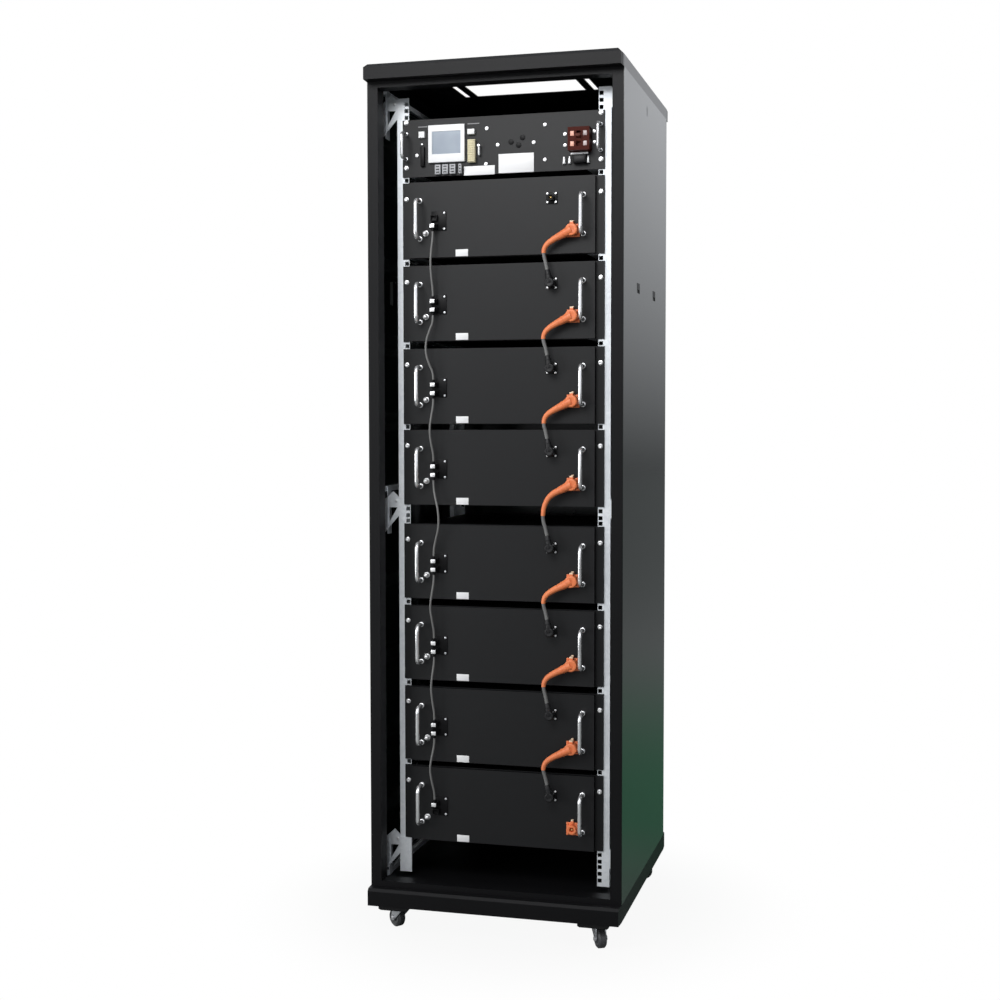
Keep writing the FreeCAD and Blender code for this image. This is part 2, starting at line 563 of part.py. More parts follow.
def rail(name, face, way, rows):
    """Right-hand rail whose flange faces the front (way 1) or the back (way -1)."""
    def deep(amount):
        return "%s + %d * (%s)" % (face, way, amount)

    body = padded(
        name, "XY_Plane",
        [
            (RAIL_IN, deep("0")), (RAIL_OUT, deep("0")), (RAIL_OUT, deep("dim.rail_web")),
            (RAIL_OUT + " - dim.rail_lip", deep("dim.rail_web")),
            (RAIL_OUT + " - dim.rail_lip", deep("dim.rail_web - dim.rail_wall")),
            (RAIL_OUT + " - dim.rail_wall", deep("dim.rail_web - dim.rail_wall")),
            (RAIL_OUT + " - dim.rail_wall", deep("dim.rail_wall")), (RAIL_IN, deep("dim.rail_wall")),
        ],
        RAIL_LENGTH,
    )
    place(body, ("0", "0", RAIL_LOW))
    pocket = body.newObject("PartDesign::Pocket", name + "_hole")
    left = "dim.ear_hole_spacing / 2 - dim.hole_side / 2"
    low = "dim.rail_margin + dim.first_hole - dim.hole_side / 2"
    pocket.Profile = outline(
        body, name + "_hole_outline", "XZ_Plane",
        [
            (left, low), (left + " + dim.hole_side", low),
            (left + " + dim.hole_side", low + " + dim.hole_side"),
            (left, low + " + dim.hole_side"),
        ],
    )
    pocket.setExpression("Length", "%s * %d" % (face, -way))
    pocket.Reversed = way > 0
    upright = [f for f in body.Origin.OriginFeatures if f.Role == "Z_Axis"][0]
    patterns = []
    for count, step in ((rows, "dim.hole_pitch"), ("dim.rack_units", "dim.unit_pitch")):
        if count == 1:
            continue
        pattern = body.newObject("PartDesign::LinearPattern", "%s_rows%d" % (name, len(patterns)))
        pattern.Direction = (upright, [""])
        pattern.setExpression("Occurrences", str(count))
        pattern.setExpression("Length", "(%s - 1) * %s" % (count, step))
        patterns.append(pattern)
    if len(patterns) == 1:
        patterns[0].Originals = [pocket]
        body.Tip = patterns[0]
        return body
    grid = body.newObject("PartDesign::MultiTransform", name + "_grid")
    grid.Originals = [pocket]
    grid.Transformations = patterns
    body.Tip = grid
    return body


front_rail = rail("front_rail", RAIL_Y, 1, HOLES_PER_UNIT)
rear_rail = rail("rear_rail", REAR_RAIL_Y, -1, 1)
doc.recompute()
group("rack_rails", [copy for shape in (at(front_rail), at(rear_rail)) for copy in (shape, mirrored(shape))])

# Rail brackets: gussets level with the rail's face, each with a triangular cut-out, a fold along the beam
# and a fold along the rail. The lowest ones stand on their beams, the others hang from theirs, and the two
# at the middle of the rear rails stand on theirs.
BEAM_OUT = "(dim.cabinet_width / 2 - dim.beam_inset)"
HOLE_X = "(%s - dim.bracket_leg)" % BEAM_OUT
gusset = padded(
    "gusset", "XZ_Plane",
    [
        (BEAM_OUT, "0"), (BEAM_OUT, "dim.bracket_shoulder"),
        (RAIL_OUT + " + dim.bracket_peak_inset", "dim.bracket_height"),
        (RAIL_OUT, "dim.bracket_rail_high"), (RAIL_OUT, "dim.bracket_rail_low"),
    ],
    "dim.bracket_wall",
    [[
        (HOLE_X, "dim.bracket_hole_low"), (HOLE_X, "dim.bracket_hole_high"),
        (RAIL_OUT + " + dim.bracket_rim", "dim.bracket_hole_high"),
    ]],
)
place(gusset, ("0", RAIL_Y + " + dim.bracket_wall", "0"))
rail_fold = block(
    "bracket_rail_fold", (RAIL_OUT, RAIL_Y, "dim.bracket_rail_low"),
    ("dim.bracket_wall", "dim.bracket_fold", "dim.bracket_rail_high - dim.bracket_rail_low"),
)
beam_folds = {
    "low": block(
        "bracket_low_fold", (BEAM_X + " - dim.bracket_wall", RAIL_Y, "-dim.beam_height"),
        ("dim.bracket_wall", "dim.bracket_fold", "dim.beam_height + dim.bracket_shoulder"),
    ),
    "high": block(
        "bracket_high_fold", (BEAM_X + " - dim.bracket_wall", RAIL_Y, "0"),
        ("dim.bracket_wall", "dim.bracket_fold", "dim.bracket_height + dim.beam_height"),
    ),
}
brackets = {name: join("bracket_" + name, gusset, rail_fold, fold) for name, fold in beam_folds.items()}
rail_foot = block(
    "rail_foot", ("-" + RAIL_OUT, RAIL_Y + " - dim.bracket_wall", RAIL_LOW),
    ("dim.rail_flange", "dim.bracket_wall", "dim.rail_foot_height"),
)
doc.recompute()
right_front = [at(brackets["low"], z=value(BEAM_LOW[0] + " + dim.beam_height"))]
right_front += [at(brackets["high"], z=value(low + " - dim.bracket_height")) for low in BEAM_LOW[1:]]
mirror_y = value(RAIL_Y) + value(REAR_RAIL_Y)
right_rear = [shape.mirror(V(0, mirror_y / 2, 0), V(0, 1, 0)) for shape in right_front]
turned_over = right_rear[1].mirror(V(0, 0, value(BEAM_LOW[1] + " + dim.beam_height / 2")), V(0, 0, 1))
right_rear[1] = turned_over
bracket_shapes = [copy for shape in right_front + right_rear for copy in (shape, mirrored(shape))]
group("rail_brackets", bracket_shapes + [at(rail_foot)])

# Module runners: angles from rail to rail that carry each case by its edges
RUNNER_IN = "(dim.rail_gap / 2 + dim.bracket_wall / 4)"
RUNNER_START = RAIL_Y + " + dim.rail_wall"
RUNNER_LENGTH = "(%s - %s - 2 * dim.rail_wall)" % (REAR_RAIL_Y, RAIL_Y)
runner = join(
    "runner",
    block("runner_web", (RUNNER_IN, RUNNER_START, "-dim.runner_wall"),
        ("dim.runner_wall", RUNNER_LENGTH, "dim.runner_height")),
    block(
        "runner_shelf_strip", (RUNNER_IN + " - dim.runner_shelf", RUNNER_START, "-dim.runner_wall"),
        ("dim.runner_shelf + dim.runner_wall", RUNNER_LENGTH, "dim.runner_wall"),
    ),
)
doc.recompute()
CONTROL_LOW = CONTROL_TOP + value(CONTROL_MID + " - dim.control_case_height / 2")
runner_levels = [top + value(CASE_LOW) for top in TOPS] + [CONTROL_LOW]
runners = [at(runner, z=level) for level in runner_levels]
group("module_runners", [copy for shape in runners for copy in (shape, mirrored(shape))])

# Module case: tray with a flat cover, cells in two rows, busbars and the monitoring board
CASE_Y = RAIL_Y
tray = cut(
    "tray",
    centred("tray_block", "0", (CASE_Y, CASE_LOW),
        ("dim.case_width", "dim.case_depth", "%s - %s - dim.case_wall" % (CASE_HIGH, CASE_LOW))),
    centred(
        "tray_void", "0", (CASE_Y, CASE_LOW + " + dim.case_wall"),
        ("dim.case_width - 2 * dim.case_wall", "dim.case_depth - dim.case_wall", EAR_HEIGHT),
    ),
)
cover = centred(
    "cover", "0", (CASE_Y, CASE_HIGH + " - dim.case_wall"),
    ("dim.case_width", "dim.case_depth", "dim.case_wall")
)
CELL_PITCH = "(dim.cell_width + dim.cell_gap)"
CELL_LOW = "(" + CASE_LOW + " + dim.case_wall)"
CELL_X = "(-dim.cells_across * %s / 2 + dim.cell_gap / 2)" % CELL_PITCH
CELL_Y = "(" + CASE_Y + " + dim.cell_front_gap)"
cell = block("cell", (CELL_X, CELL_Y, CELL_LOW), ("dim.cell_width", "dim.cell_depth", "dim.cell_height"))
BAR_Z = CELL_LOW + " + dim.cell_height"
busbar = block(
    "busbar", (CELL_X + " + (%s - dim.busbar_width) / 2 + dim.cell_width / 2" % CELL_PITCH, CELL_Y, BAR_Z),
    ("dim.busbar_width", "dim.busbar_depth", "dim.busbar_thick"),
)
link_bar = block(
    "link_bar", (CELL_X + " + dim.busbar_inset", CELL_Y + " + dim.cell_depth - 3 * dim.busbar_depth / 2",
        BAR_Z),
    ("dim.busbar_depth", "3 * dim.busbar_depth + dim.cell_row_gap", "dim.busbar_thick"),
)
board = centred(
    "board", "0", (CELL_Y + " + dim.cell_depth / 2 - dim.board_depth / 2", BAR_Z),
    ("dim.board_width", "dim.board_depth", "dim.board_thick"),
)

# Front pan: ear plate and a proud folded face, with holes for the sockets and the ear screws
pan = cut(
    "pan",
    join(
        "pan_sheet",
        centred("ear_plate", "0", (EAR_Y, "-dim.unit_slack / 2 - " + EAR_HEIGHT),
            ("dim.ear_width", "dim.ear_thick", EAR_HEIGHT)),
        centred(
            "face_block", "0", (FACE_Y, "dim.face_margin - dim.unit_slack / 2 - " + EAR_HEIGHT),
            ("dim.face_width", "dim.face_proud", EAR_HEIGHT + " - 2 * dim.face_margin"),
        ),
    ),
    centred(
        "face_void", "0",
        (FACE_Y + " + dim.face_wall",
            "dim.face_margin + dim.face_wall - dim.unit_slack / 2 - " + EAR_HEIGHT),
        (
            "dim.case_width - 2 * dim.face_lap", "dim.face_proud + dim.ear_thick",
            EAR_HEIGHT + " - 2 * dim.face_margin - 2 * dim.face_wall",
        ),
    ),
    rod("ear_hole_left", ("-dim.ear_hole_spacing / 2", EAR_Y, "-dim.ear_hole_drop"), "dim.ear_hole_radius",
        "dim.ear_thick", "y"),
    rod("ear_hole_right", ("dim.ear_hole_spacing / 2", EAR_Y, "-dim.ear_hole_drop"), "dim.ear_hole_radius",
        "dim.ear_thick", "y"),
    rod(
        "positive_hole", ("dim.positive_place", FACE_Y, "-dim.positive_drop"),
        "dim.positive_barrel + dim.plug_gap",
        "dim.face_wall", "y",
    ),
    rod(
        "negative_hole", ("dim.negative_place", FACE_Y, "-dim.negative_drop"),
        "dim.negative_barrel + dim.plug_gap",
        "dim.face_wall", "y",
    ),
)


def bow_handle(name, x, spacing, radius, middle, face):
    """Bent round bar on two round feet, standing off a face."""
    reach = "dim.handle_reach"
    parts = []
    for end in (-1, 1):
        level = "(%s + %d * %s / 2)" % (middle, end, spacing)
        parts.append(
            rod("%s_foot%d" % (name, end > 0), (x, face + " - dim.handle_foot_height", level),
                "dim.handle_foot_radius",
                "dim.handle_foot_height", "y")
        )
        parts.append(
            rod("%s_leg%d" % (name, end > 0), (x, "%s - %s + dim.handle_bend" % (face, reach), level),
                radius,
                "%s - dim.handle_bend" % reach, "y")
        )
        bend = doc.addObject("Part::Torus", "%s_bend%d" % (name, end > 0))
        bend.setExpression("Radius1", "dim.handle_bend")
        bend.setExpression("Radius2", radius)
        bend.Angle3 = 90
        turn = FreeCAD.Rotation(V(0, -1, 0), V(0, 0, end), V(-end, 0, 0), "ZXY")
        parts.append(
            place(bend, (x, "%s - %s + dim.handle_bend" % (face, reach),
                "%s - %d * dim.handle_bend" % (level, end)), turn)
        )
    parts.append(
        rod(name + "_grip", (x, "%s - %s" % (face, reach),
            "%s - %s / 2 + dim.handle_bend" % (middle, spacing)), radius,
            "%s - 2 * dim.handle_bend" % spacing)
    )
    return join(name, *parts)


MODULE_MID = "(-dim.module_units * dim.unit_pitch / 2)"
handle = bow_handle("handle", "dim.handle_place", "dim.handle_spacing", "dim.handle_radius", MODULE_MID,
    FACE_Y)
small_handle = bow_handle(
    "small_handle", "dim.small_handle_place", "dim.small_handle_spacing", "dim.small_handle_radius",
    "(%s + dim.small_handle_rise)" % CONTROL_MID, EAR_Y,
)
screw = join(
    "screw",
    rod("screw_head", ("0", EAR_Y + " - dim.screw_head_height", "0"), "dim.screw_head_radius",
        "dim.screw_head_height", "y"),
    rod("screw_shank", ("0", EAR_Y, "0"), "dim.screw_radius", "dim.screw_length", "y"),
)


def socket(name, x, drop, flange, barrel, bore):
    """Panel socket: square flange on the face, hollow barrel in front and a tail behind."""
    low = "-%s - %s / 2" % (drop, flange)
    body = join(
        name + "_body",
        centred(name + "_flange", x, (FACE_Y + " - dim.socket_flange", low),
            (flange, "dim.socket_flange", flange)),
        rod(name + "_barrel", (x, FACE_Y + " - dim.socket_flange - dim.socket_barrel_length", "-" + drop),
            barrel,
            "dim.socket_barrel_length + dim.socket_flange + dim.socket_tail", "y"),
    )
    hole = rod(
        name + "_bore", (x, FACE_Y + " - dim.socket_flange - dim.socket_barrel_length", "-" + drop), bore,
        "dim.socket_bore_depth", "y",
    )
    return cut(name, body, hole)


positive = socket(
    "positive", "dim.positive_place", "dim.positive_drop", "dim.positive_flange", "dim.positive_barrel",
    "dim.positive_bore"
)
negative = socket(
    "negative", "dim.negative_place", "dim.negative_drop", "dim.negative_flange", "dim.negative_barrel",
    "dim.negative_bore"
)


def lead_plug(name, x, drop, radius, length, barrel, angle, reach, root, tip):
    """Right-angle plug over a socket's barrel, with a boot that leaves at an angle in the face's plane."""
    start = FACE_Y + " - dim.socket_flange - " + length
    body = rod(name + "_body", (x, start, "-" + drop), radius, length, "y")
    boot = doc.addObject("Part::Cone", name + "_boot")
    boot.setExpression("Radius1", root)
    boot.setExpression("Radius2", tip)
    boot.setExpression("Height", reach)
    way = V(math.cos(math.radians(value(angle))), 0, math.sin(math.radians(value(angle))))
    place(boot, (x, boot_depth(length), "-" + drop), FreeCAD.Rotation(V(0, 0, 1), way))
    bore = rod(
        name + "_bore", (x, FACE_Y + " - dim.socket_flange - dim.socket_barrel_length - dim.plug_gap",
            "-" + drop),
        barrel + " + dim.plug_gap", "dim.socket_barrel_length + dim.plug_gap", "y",
    )
    return body, boot, bore, way


def boot_depth(length):
    """Y of a boot's centre line: the middle of the plug's closed end."""
    barrel_end = FACE_Y + " - dim.socket_flange - dim.socket_barrel_length"
    return "(%s - (%s - dim.socket_barrel_length) / 2)" % (barrel_end, length)


body, boot, bore, positive_way = lead_plug(
    "positive_plug", "dim.positive_place", "dim.positive_drop", "dim.positive_plug_radius",
    "dim.positive_plug_length",
    "dim.positive_barrel", "180 + dim.positive_exit_angle", "dim.boot_reach", "dim.boot_root_radius",
    "dim.boot_end_radius",
)
tab = centred(
    "positive_tab", "dim.positive_place",
    (
        FACE_Y + " - dim.socket_flange - dim.positive_plug_length + dim.plug_tab_set_back",
        "-dim.positive_drop + dim.positive_plug_radius - dim.plug_tab_sink",
    ),
    ("dim.plug_tab_width", "dim.plug_tab_length", "dim.plug_tab_height"),
)
positive_plug = cut("positive_plug", join("positive_plug_solid", body, boot, tab), bore)
body, boot, bore, negative_way = lead_plug(
    "negative_plug", "dim.negative_place", "dim.negative_drop", "dim.negative_plug_radius",
    "dim.negative_plug_length",
    "dim.negative_barrel", "dim.negative_exit_angle", "dim.small_boot_reach", "dim.small_boot_root_radius",
    "dim.small_boot_end_radius",
)
negative_plug = cut("negative_plug", join("negative_plug_solid", body, boot), bore)

# Signal ports: plate with two housings, and the small plugs that seat on them
port_plate = centred(
    "port_plate", "-dim.port_plate_place",
    (FACE_Y + " - dim.port_plate_thick", "-dim.port_plate_drop - dim.port_plate_height"),
    ("dim.port_plate_width", "dim.port_plate_thick", "dim.port_plate_height"),
)
PORT_FRONT = "(" + FACE_Y + " - dim.port_plate_thick - dim.port_depth)"
port_parts = [port_plate]
port_holes = []
for number in range(2):
    middle = "(-dim.port_drop - %d * dim.port_spacing)" % number
    port_parts.append(
        centred("port%d" % number, "-dim.port_place", (PORT_FRONT, middle + " - dim.port_height / 2"),
                ("dim.port_width", "dim.port_depth", "dim.port_height"))
    )
    port_holes.append(
        centred("port_hole%d" % number, "-dim.port_place",
            (PORT_FRONT, middle + " - dim.port_height / 2 + dim.port_wall"),
                ("dim.port_width - 2 * dim.port_wall", "dim.port_depth",
                    "dim.port_height - 2 * dim.port_wall"))
    )
ports = cut("ports", join("ports_solid", *port_parts), *port_holes)


def signal_plug(name, number, way):
    """Small plug on one port, its boot up (1) or down (-1)."""
    middle = "(-dim.port_drop - %d * dim.port_spacing)" % number
    inner = "2 * dim.port_wall + 2 * dim.plug_gap"
    nose = centred(
        name + "_nose", "-dim.port_place",
        (PORT_FRONT, "%s - dim.port_height / 2 + dim.port_wall + dim.plug_gap" % middle),
        ("dim.port_width - " + inner.replace("+", "-"), "dim.signal_plug_nose",
            "dim.port_height - " + inner.replace("+", "-")),
    )
    shell = centred(
        name + "_shell", "-dim.port_place",
        (PORT_FRONT + " - dim.signal_plug_depth", middle + " - dim.port_height / 2 + 1"),
        ("dim.port_width - 2", "dim.signal_plug_depth", "dim.port_height - 2"),
    )
    level = "%s + dim.port_height / 2 - 1" % middle
    if way < 0:
        level = "%s - dim.port_height / 2 + 1 - dim.signal_boot_length" % middle
    boot = rod(
        name + "_boot", ("-dim.port_place", PORT_FRONT + " - dim.signal_plug_depth / 2", level),
        "dim.signal_boot_radius",
        "dim.signal_boot_length",
    )
    return join(name, nose, shell, boot)


plug_in = signal_plug("signal_in", 0, 1)
plug_out = signal_plug("signal_out", 1, -1)

# Earth stud: washer and dome nut on the face
earth = join(
    "earth",
    rod("earth_washer", ("-dim.earth_place", FACE_Y + " - dim.earth_washer_height", "-dim.earth_drop"),
        "dim.earth_washer_radius", "dim.earth_washer_height", "y"),
    rod("earth_nut", ("-dim.earth_place", FACE_Y + " - dim.earth_washer_height - dim.earth_height",
        "-dim.earth_drop"),
        "dim.earth_radius", "dim.earth_height", "y"),
)
dome = doc.addObject("Part::Sphere", "earth_dome")
dome.setExpression("Radius", "dim.earth_radius - 0.5")
dome.Angle1 = 0
place(
    dome, ("-dim.earth_place", FACE_Y + " - dim.earth_washer_height - dim.earth_height", "-dim.earth_drop"),
    FreeCAD.Rotation(V(0, 0, 1), V(0, -1, 0)),
)
earth_nut = join("earth_dome_nut", earth, dome)
doc.recompute()

in_row = int(value("dim.cells_across"))
pitch = value(CELL_PITCH)
row_step = value("dim.cell_depth + dim.cell_row_gap")
row_places = [(column * pitch, row * row_step) for row in range(2) for column in range(in_row)]
near = value("dim.busbar_inset")
far = value("dim.cell_depth - dim.busbar_depth - dim.busbar_inset")
bar_places = []
for row in range(2):
    for column in range(in_row - 1):
        end = near if (column + row) % 2 else far
        bar_places.append((column * pitch, row * row_step + end))
group("module_cases", [at(tray, z=top) for top in TOPS])
group("module_covers", [at(cover, z=top) for top in TOPS])
group("battery_cells", [at(cell, x, y, top) for top in TOPS for x, y in row_places])
group(
    "busbars",
    [at(busbar, x, y, top) for top in TOPS for x, y in bar_places if abs(y - far) > 1 or x > 1]
    + [at(link_bar, z=top) for top in TOPS],
)
group("monitor_boards", [at(board, z=top) for top in TOPS])
group("module_fronts", [at(pan, z=top) for top in TOPS])
handle_shapes = [at(handle, z=top) for top in TOPS]
group(
    "handles",
    [copy for shape in handle_shapes + [at(small_handle, z=CONTROL_TOP)] for copy in (shape,
        mirrored(shape))],
)
screw_heights = [hole_height(module_hole(number)) for number in range(MODULES)]
screw_heights += [hole_height(CONTROL_TOP_HOLE), hole_height(CONTROL_LOW_HOLE)]
ear_x = value("dim.ear_hole_spacing / 2")
group("ear_screws", [at(screw, side * ear_x, 0, level) for level in screw_heights for side in (-1, 1)])
group("positive_sockets", [at(positive, z=top) for top in TOPS])
group("negative_sockets", [at(negative, z=top) for top in TOPS])
group("positive_plugs", [at(positive_plug, z=top) for top in TOPS[:-1]])
group("negative_plugs", [at(negative_plug, z=top) for top in TOPS[1:]])
group("signal_ports", [at(ports, z=top) for top in TOPS])
group("signal_plugs", [at(plug_out, z=top) for top in TOPS[:-1]] + [at(plug_in, z=top) for top in TOPS[1:]])
group("earth_studs", [at(earth_nut, z=top) for top in TOPS])

# Control box: hollow case with its front panel, and what is let into the panel
CASE_CENTRE = "(%r + %s)" % (CONTROL_TOP, CONTROL_MID)
METER_Z = "(%s + dim.meter_rise)" % CASE_CENTRE
BREAKER_Z = "(%s + dim.breaker_rise)" % CASE_CENTRE
BUTTON_Z = "(%s + dim.button_rise)" % CASE_CENTRE
CONTROL_HEIGHT = "(dim.control_units * dim.unit_pitch - dim.unit_slack)"
control_shell = cut(
    "control_shell",
    centred("control_block", "0", (RAIL_Y, CASE_CENTRE + " - dim.control_case_height / 2"),
            ("dim.case_width", "dim.control_case_depth", "dim.control_case_height")),
    centred("control_void", "0", (RAIL_Y, CASE_CENTRE + " - dim.control_case_height / 2 + dim.control_wall"),
            ("dim.case_width - 2 * dim.control_wall", "dim.control_case_depth - dim.control_wall",
             "dim.control_case_height - 2 * dim.control_wall")),
)
panel_plate = centred(
    "control_panel", "0", (EAR_Y, CASE_CENTRE + " - " + CONTROL_HEIGHT + " / 2"),
    ("dim.ear_width", "dim.ear_thick", CONTROL_HEIGHT)
)
panel_holes = [
    centred("meter_hole", "-dim.meter_place",
        (EAR_Y, METER_Z + " - dim.meter_body_height / 2 - dim.slide_gap"),
            ("dim.meter_body_width + 2 * dim.slide_gap", "dim.ear_thick",
                "dim.meter_body_height + 2 * dim.slide_gap")),
    centred("breaker_hole", "dim.breaker_place",
        (EAR_Y, BREAKER_Z + " - dim.breaker_height / 2 - dim.slide_gap"),
            ("dim.breaker_width + 2 * dim.slide_gap", "dim.ear_thick",
                "dim.breaker_height + 2 * dim.slide_gap")),
    centred("button_hole", "-dim.button_place", (EAR_Y, BUTTON_Z + " - dim.button_side / 2 - dim.slide_gap"),
            ("dim.button_side + 2 * dim.slide_gap", "dim.ear_thick", "dim.button_side + 2 * dim.slide_gap")),
]
for side in (-1, 1):
    for number, index in enumerate((CONTROL_TOP_HOLE, CONTROL_LOW_HOLE)):
        panel_holes.append(
            rod("control_ear_hole%d%d" % (side > 0, number),
                ("%d * dim.ear_hole_spacing / 2" % side, EAR_Y, repr(hole_height(index))),
                "dim.ear_hole_radius", "dim.ear_thick", "y")
        )
piece("control_box_case",
    join("control_solid", control_shell, cut("control_face", panel_plate, *panel_holes)))

# Panel meter: bezel on the panel, sunk screen, body through the panel
meter = cut(
    "meter",
    join(
        "meter_solid",
        centred("meter_bezel", "-dim.meter_place",
            (EAR_Y + " - dim.meter_proud", METER_Z + " - dim.meter_height / 2"),
                ("dim.meter_width", "dim.meter_proud", "dim.meter_height")),
        centred("meter_body", "-dim.meter_place", (EAR_Y, METER_Z + " - dim.meter_body_height / 2"),
                ("dim.meter_body_width", "dim.meter_body_depth", "dim.meter_body_height")),
    ),
    centred("meter_screen", "-dim.meter_place",
            (EAR_Y + " - dim.meter_proud",
                METER_Z + " + dim.meter_screen_rise - dim.meter_screen_height / 2"),
            ("dim.meter_screen_width", "dim.meter_screen_depth", "dim.meter_screen_height")),
)
piece("panel_meter", meter)

# Main breaker: block through the panel with four windows and a slot for its lever
BREAKER_FRONT = "(" + EAR_Y + " - dim.breaker_proud)"
breaker_cuts = [
    centred("lever_slot", "dim.breaker_place", (BREAKER_FRONT, BREAKER_Z + " - dim.breaker_slot_height / 2"),
            ("dim.lever_width + 2 * dim.slide_gap", "dim.lever_radius", "dim.breaker_slot_height")),
    rod("lever_seat", ("dim.breaker_place - dim.lever_width / 2 - dim.slide_gap",
        BREAKER_FRONT + " + dim.lever_radius", BREAKER_Z),
        "dim.lever_radius + dim.slide_gap", "dim.lever_width + 2 * dim.slide_gap", "x"),
]
window_low = "%s + %d * dim.breaker_height * 0.22 - dim.breaker_window_height / 2"
for side in (-1, 1):
    for end in (-1, 1):
        breaker_cuts.append(
            centred("window%d%d" % (side > 0, end > 0),
                "dim.breaker_place + %d * dim.breaker_width * 0.3" % side,
                    (BREAKER_FRONT, window_low % (BREAKER_Z, end)),
                    ("dim.breaker_window_width", "dim.breaker_window_depth", "dim.breaker_window_height"))
        )
breaker_block = centred(
    "breaker_block", "dim.breaker_place", (BREAKER_FRONT, BREAKER_Z + " - dim.breaker_height / 2"),
    ("dim.breaker_width", "dim.breaker_proud + dim.breaker_tail", "dim.breaker_height"),
)
piece("breaker_body", cut("breaker", breaker_block, *breaker_cuts))
lever_tip = centred(
    "lever_blade", "0", ("-dim.lever_reach", "-dim.lever_thick / 2"),
    ("dim.lever_width", "dim.lever_reach", "dim.lever_thick")
)
lever_hub = rod("lever_hub", ("-dim.lever_width / 2", "0", "0"), "dim.lever_radius", "dim.lever_width", "x")
lever = join("lever", lever_tip, lever_hub)
place(
    lever, ("dim.breaker_place", BREAKER_FRONT + " + dim.lever_radius", BREAKER_Z),
    FreeCAD.Rotation(V(1, 0, 0), -value("dim.lever_rest_angle")),
)
piece("breaker_lever", lever)

# Push button: square cap in its hole, held by a flange behind the panel
button = join(
    "button",
    centred("button_cap", "-dim.button_place",
        (EAR_Y + " - dim.button_proud", BUTTON_Z + " - dim.button_side / 2"),
            ("dim.button_side", "dim.button_proud + dim.ear_thick + dim.button_tail", "dim.button_side")),
    centred("button_rim", "-dim.button_place",
        (RAIL_Y + " + dim.slide_gap", BUTTON_Z + " - dim.button_side / 2 - dim.button_flange"),
            ("dim.button_side + 2 * dim.button_flange", "dim.button_flange",
                "dim.button_side + 2 * dim.button_flange")),
)
piece("control_button", button)

# Fittings on the control panel. Each row gives what the fitting keeps its distance from, how far to the
# right and how far above the panel's middle it sits, and its width, depth and height.
METER_X = "(-dim.meter_place)"
BREAKER_X = "(dim.breaker_place)"
FITTINGS = {
    "lamp": (METER_X, 59.9, 31.7, 17, 9, 12), "terminal": (METER_X, 61.6, -13, 18, 14, 52),
    "pin": (METER_X, 79.2, -12, 4, 12, 24), "plate_wide": (METER_X, 78.2, -57.4, 74, 1.5, 21),
    "fuse": (METER_X, -58.8, -20, 9, 8, 46), "plate_tall": ("0", 34, -44.3, 84, 1.5, 44),
    "strip": (BREAKER_X, -2, -29.5, 40, 6, 5), "outlet": (BREAKER_X, -0.5, -43.5, 31, 16, 19),
    "connector_a": (METER_X, -20.8, -52, 14, 9, 22), "connector_b": (METER_X, -2.8, -52, 14, 9, 22),
    "connector_c": (METER_X, 15.2, -52, 14, 9, 22), "connector_d": (METER_X, 33.2, -52, 7, 9, 22),
}
fitting_items = []
for name, (beside, across, rise_by, wide, proud, tall) in FITTINGS.items():
    fitting_items.append(
        centred(
            "fitting_" + name, "(%s + %r)" % (beside, across),
            ("%s - %r" % (EAR_Y, proud), "%s + %r" % (CASE_CENTRE, rise_by - tall / 2)),
            (repr(wide), repr(proud), repr(tall)),
        )
    )
doc.recompute()
group("control_fittings", [at(item) for item in fitting_items])

# Castors: block under each corner plate, swivel fork with its race, stem and axle, and the wheel
CASTORS = {
    "front_left": (-1, -1, 145), "front_right": (1, -1, -60), "rear_left": (-1, 1, 160),
    "rear_right": (1, 1, 10),
}
BLOCK_LOW = "(dim.castor_height - dim.castor_block_height)"
slab = padded(
    "castor_slab", "XY_Plane",
    [
        ("-dim.castor_block / 2", "-dim.castor_block_reach"),
        ("dim.castor_block / 2", "-dim.castor_block_reach"),
        ("dim.castor_block / 2", "dim.castor_block / 2"), ("-dim.castor_block / 2", "dim.castor_block / 2"),
    ],
    "dim.castor_block_height",
)
place(slab, ("0", "0", BLOCK_LOW))
bevelled(slab, "castor_slab_bevel", "dim.castor_block_bevel", lambda a, b: max(a.z, b.z) < 0.1)
castor_block = cut(
    "castor_block", slab,
    rod("castor_seat", ("0", "0", BLOCK_LOW), "dim.stem_radius + dim.running_gap",
        "dim.stem_length + dim.slide_gap"),
)
LEG_IN = "(dim.hub_width / 2 + dim.fork_gap)"
CROWN_LOW = "(" + BLOCK_LOW + " - dim.race_height - dim.fork_crown)"
leg_profile = [
    ("-dim.fork_length / 2", CROWN_LOW), ("dim.fork_length / 2", CROWN_LOW),
    ("dim.castor_trail + dim.axle_boss_radius", "dim.wheel_radius"),
    ("dim.castor_trail + dim.axle_boss_radius * 0.5", "dim.wheel_radius - dim.axle_boss_radius * 0.87"),
    ("dim.castor_trail - dim.axle_boss_radius * 0.5", "dim.wheel_radius - dim.axle_boss_radius * 0.87"),
    ("dim.castor_trail - dim.axle_boss_radius", "dim.wheel_radius"),
]
legs = []
for side, start in ((0, "-%s - dim.fork_leg" % LEG_IN), (1, LEG_IN)):
    leg = padded("fork_leg%d" % side, "XZ_Plane", leg_profile, "dim.fork_leg")
    legs.append(place(leg, ("0", start, "0")))
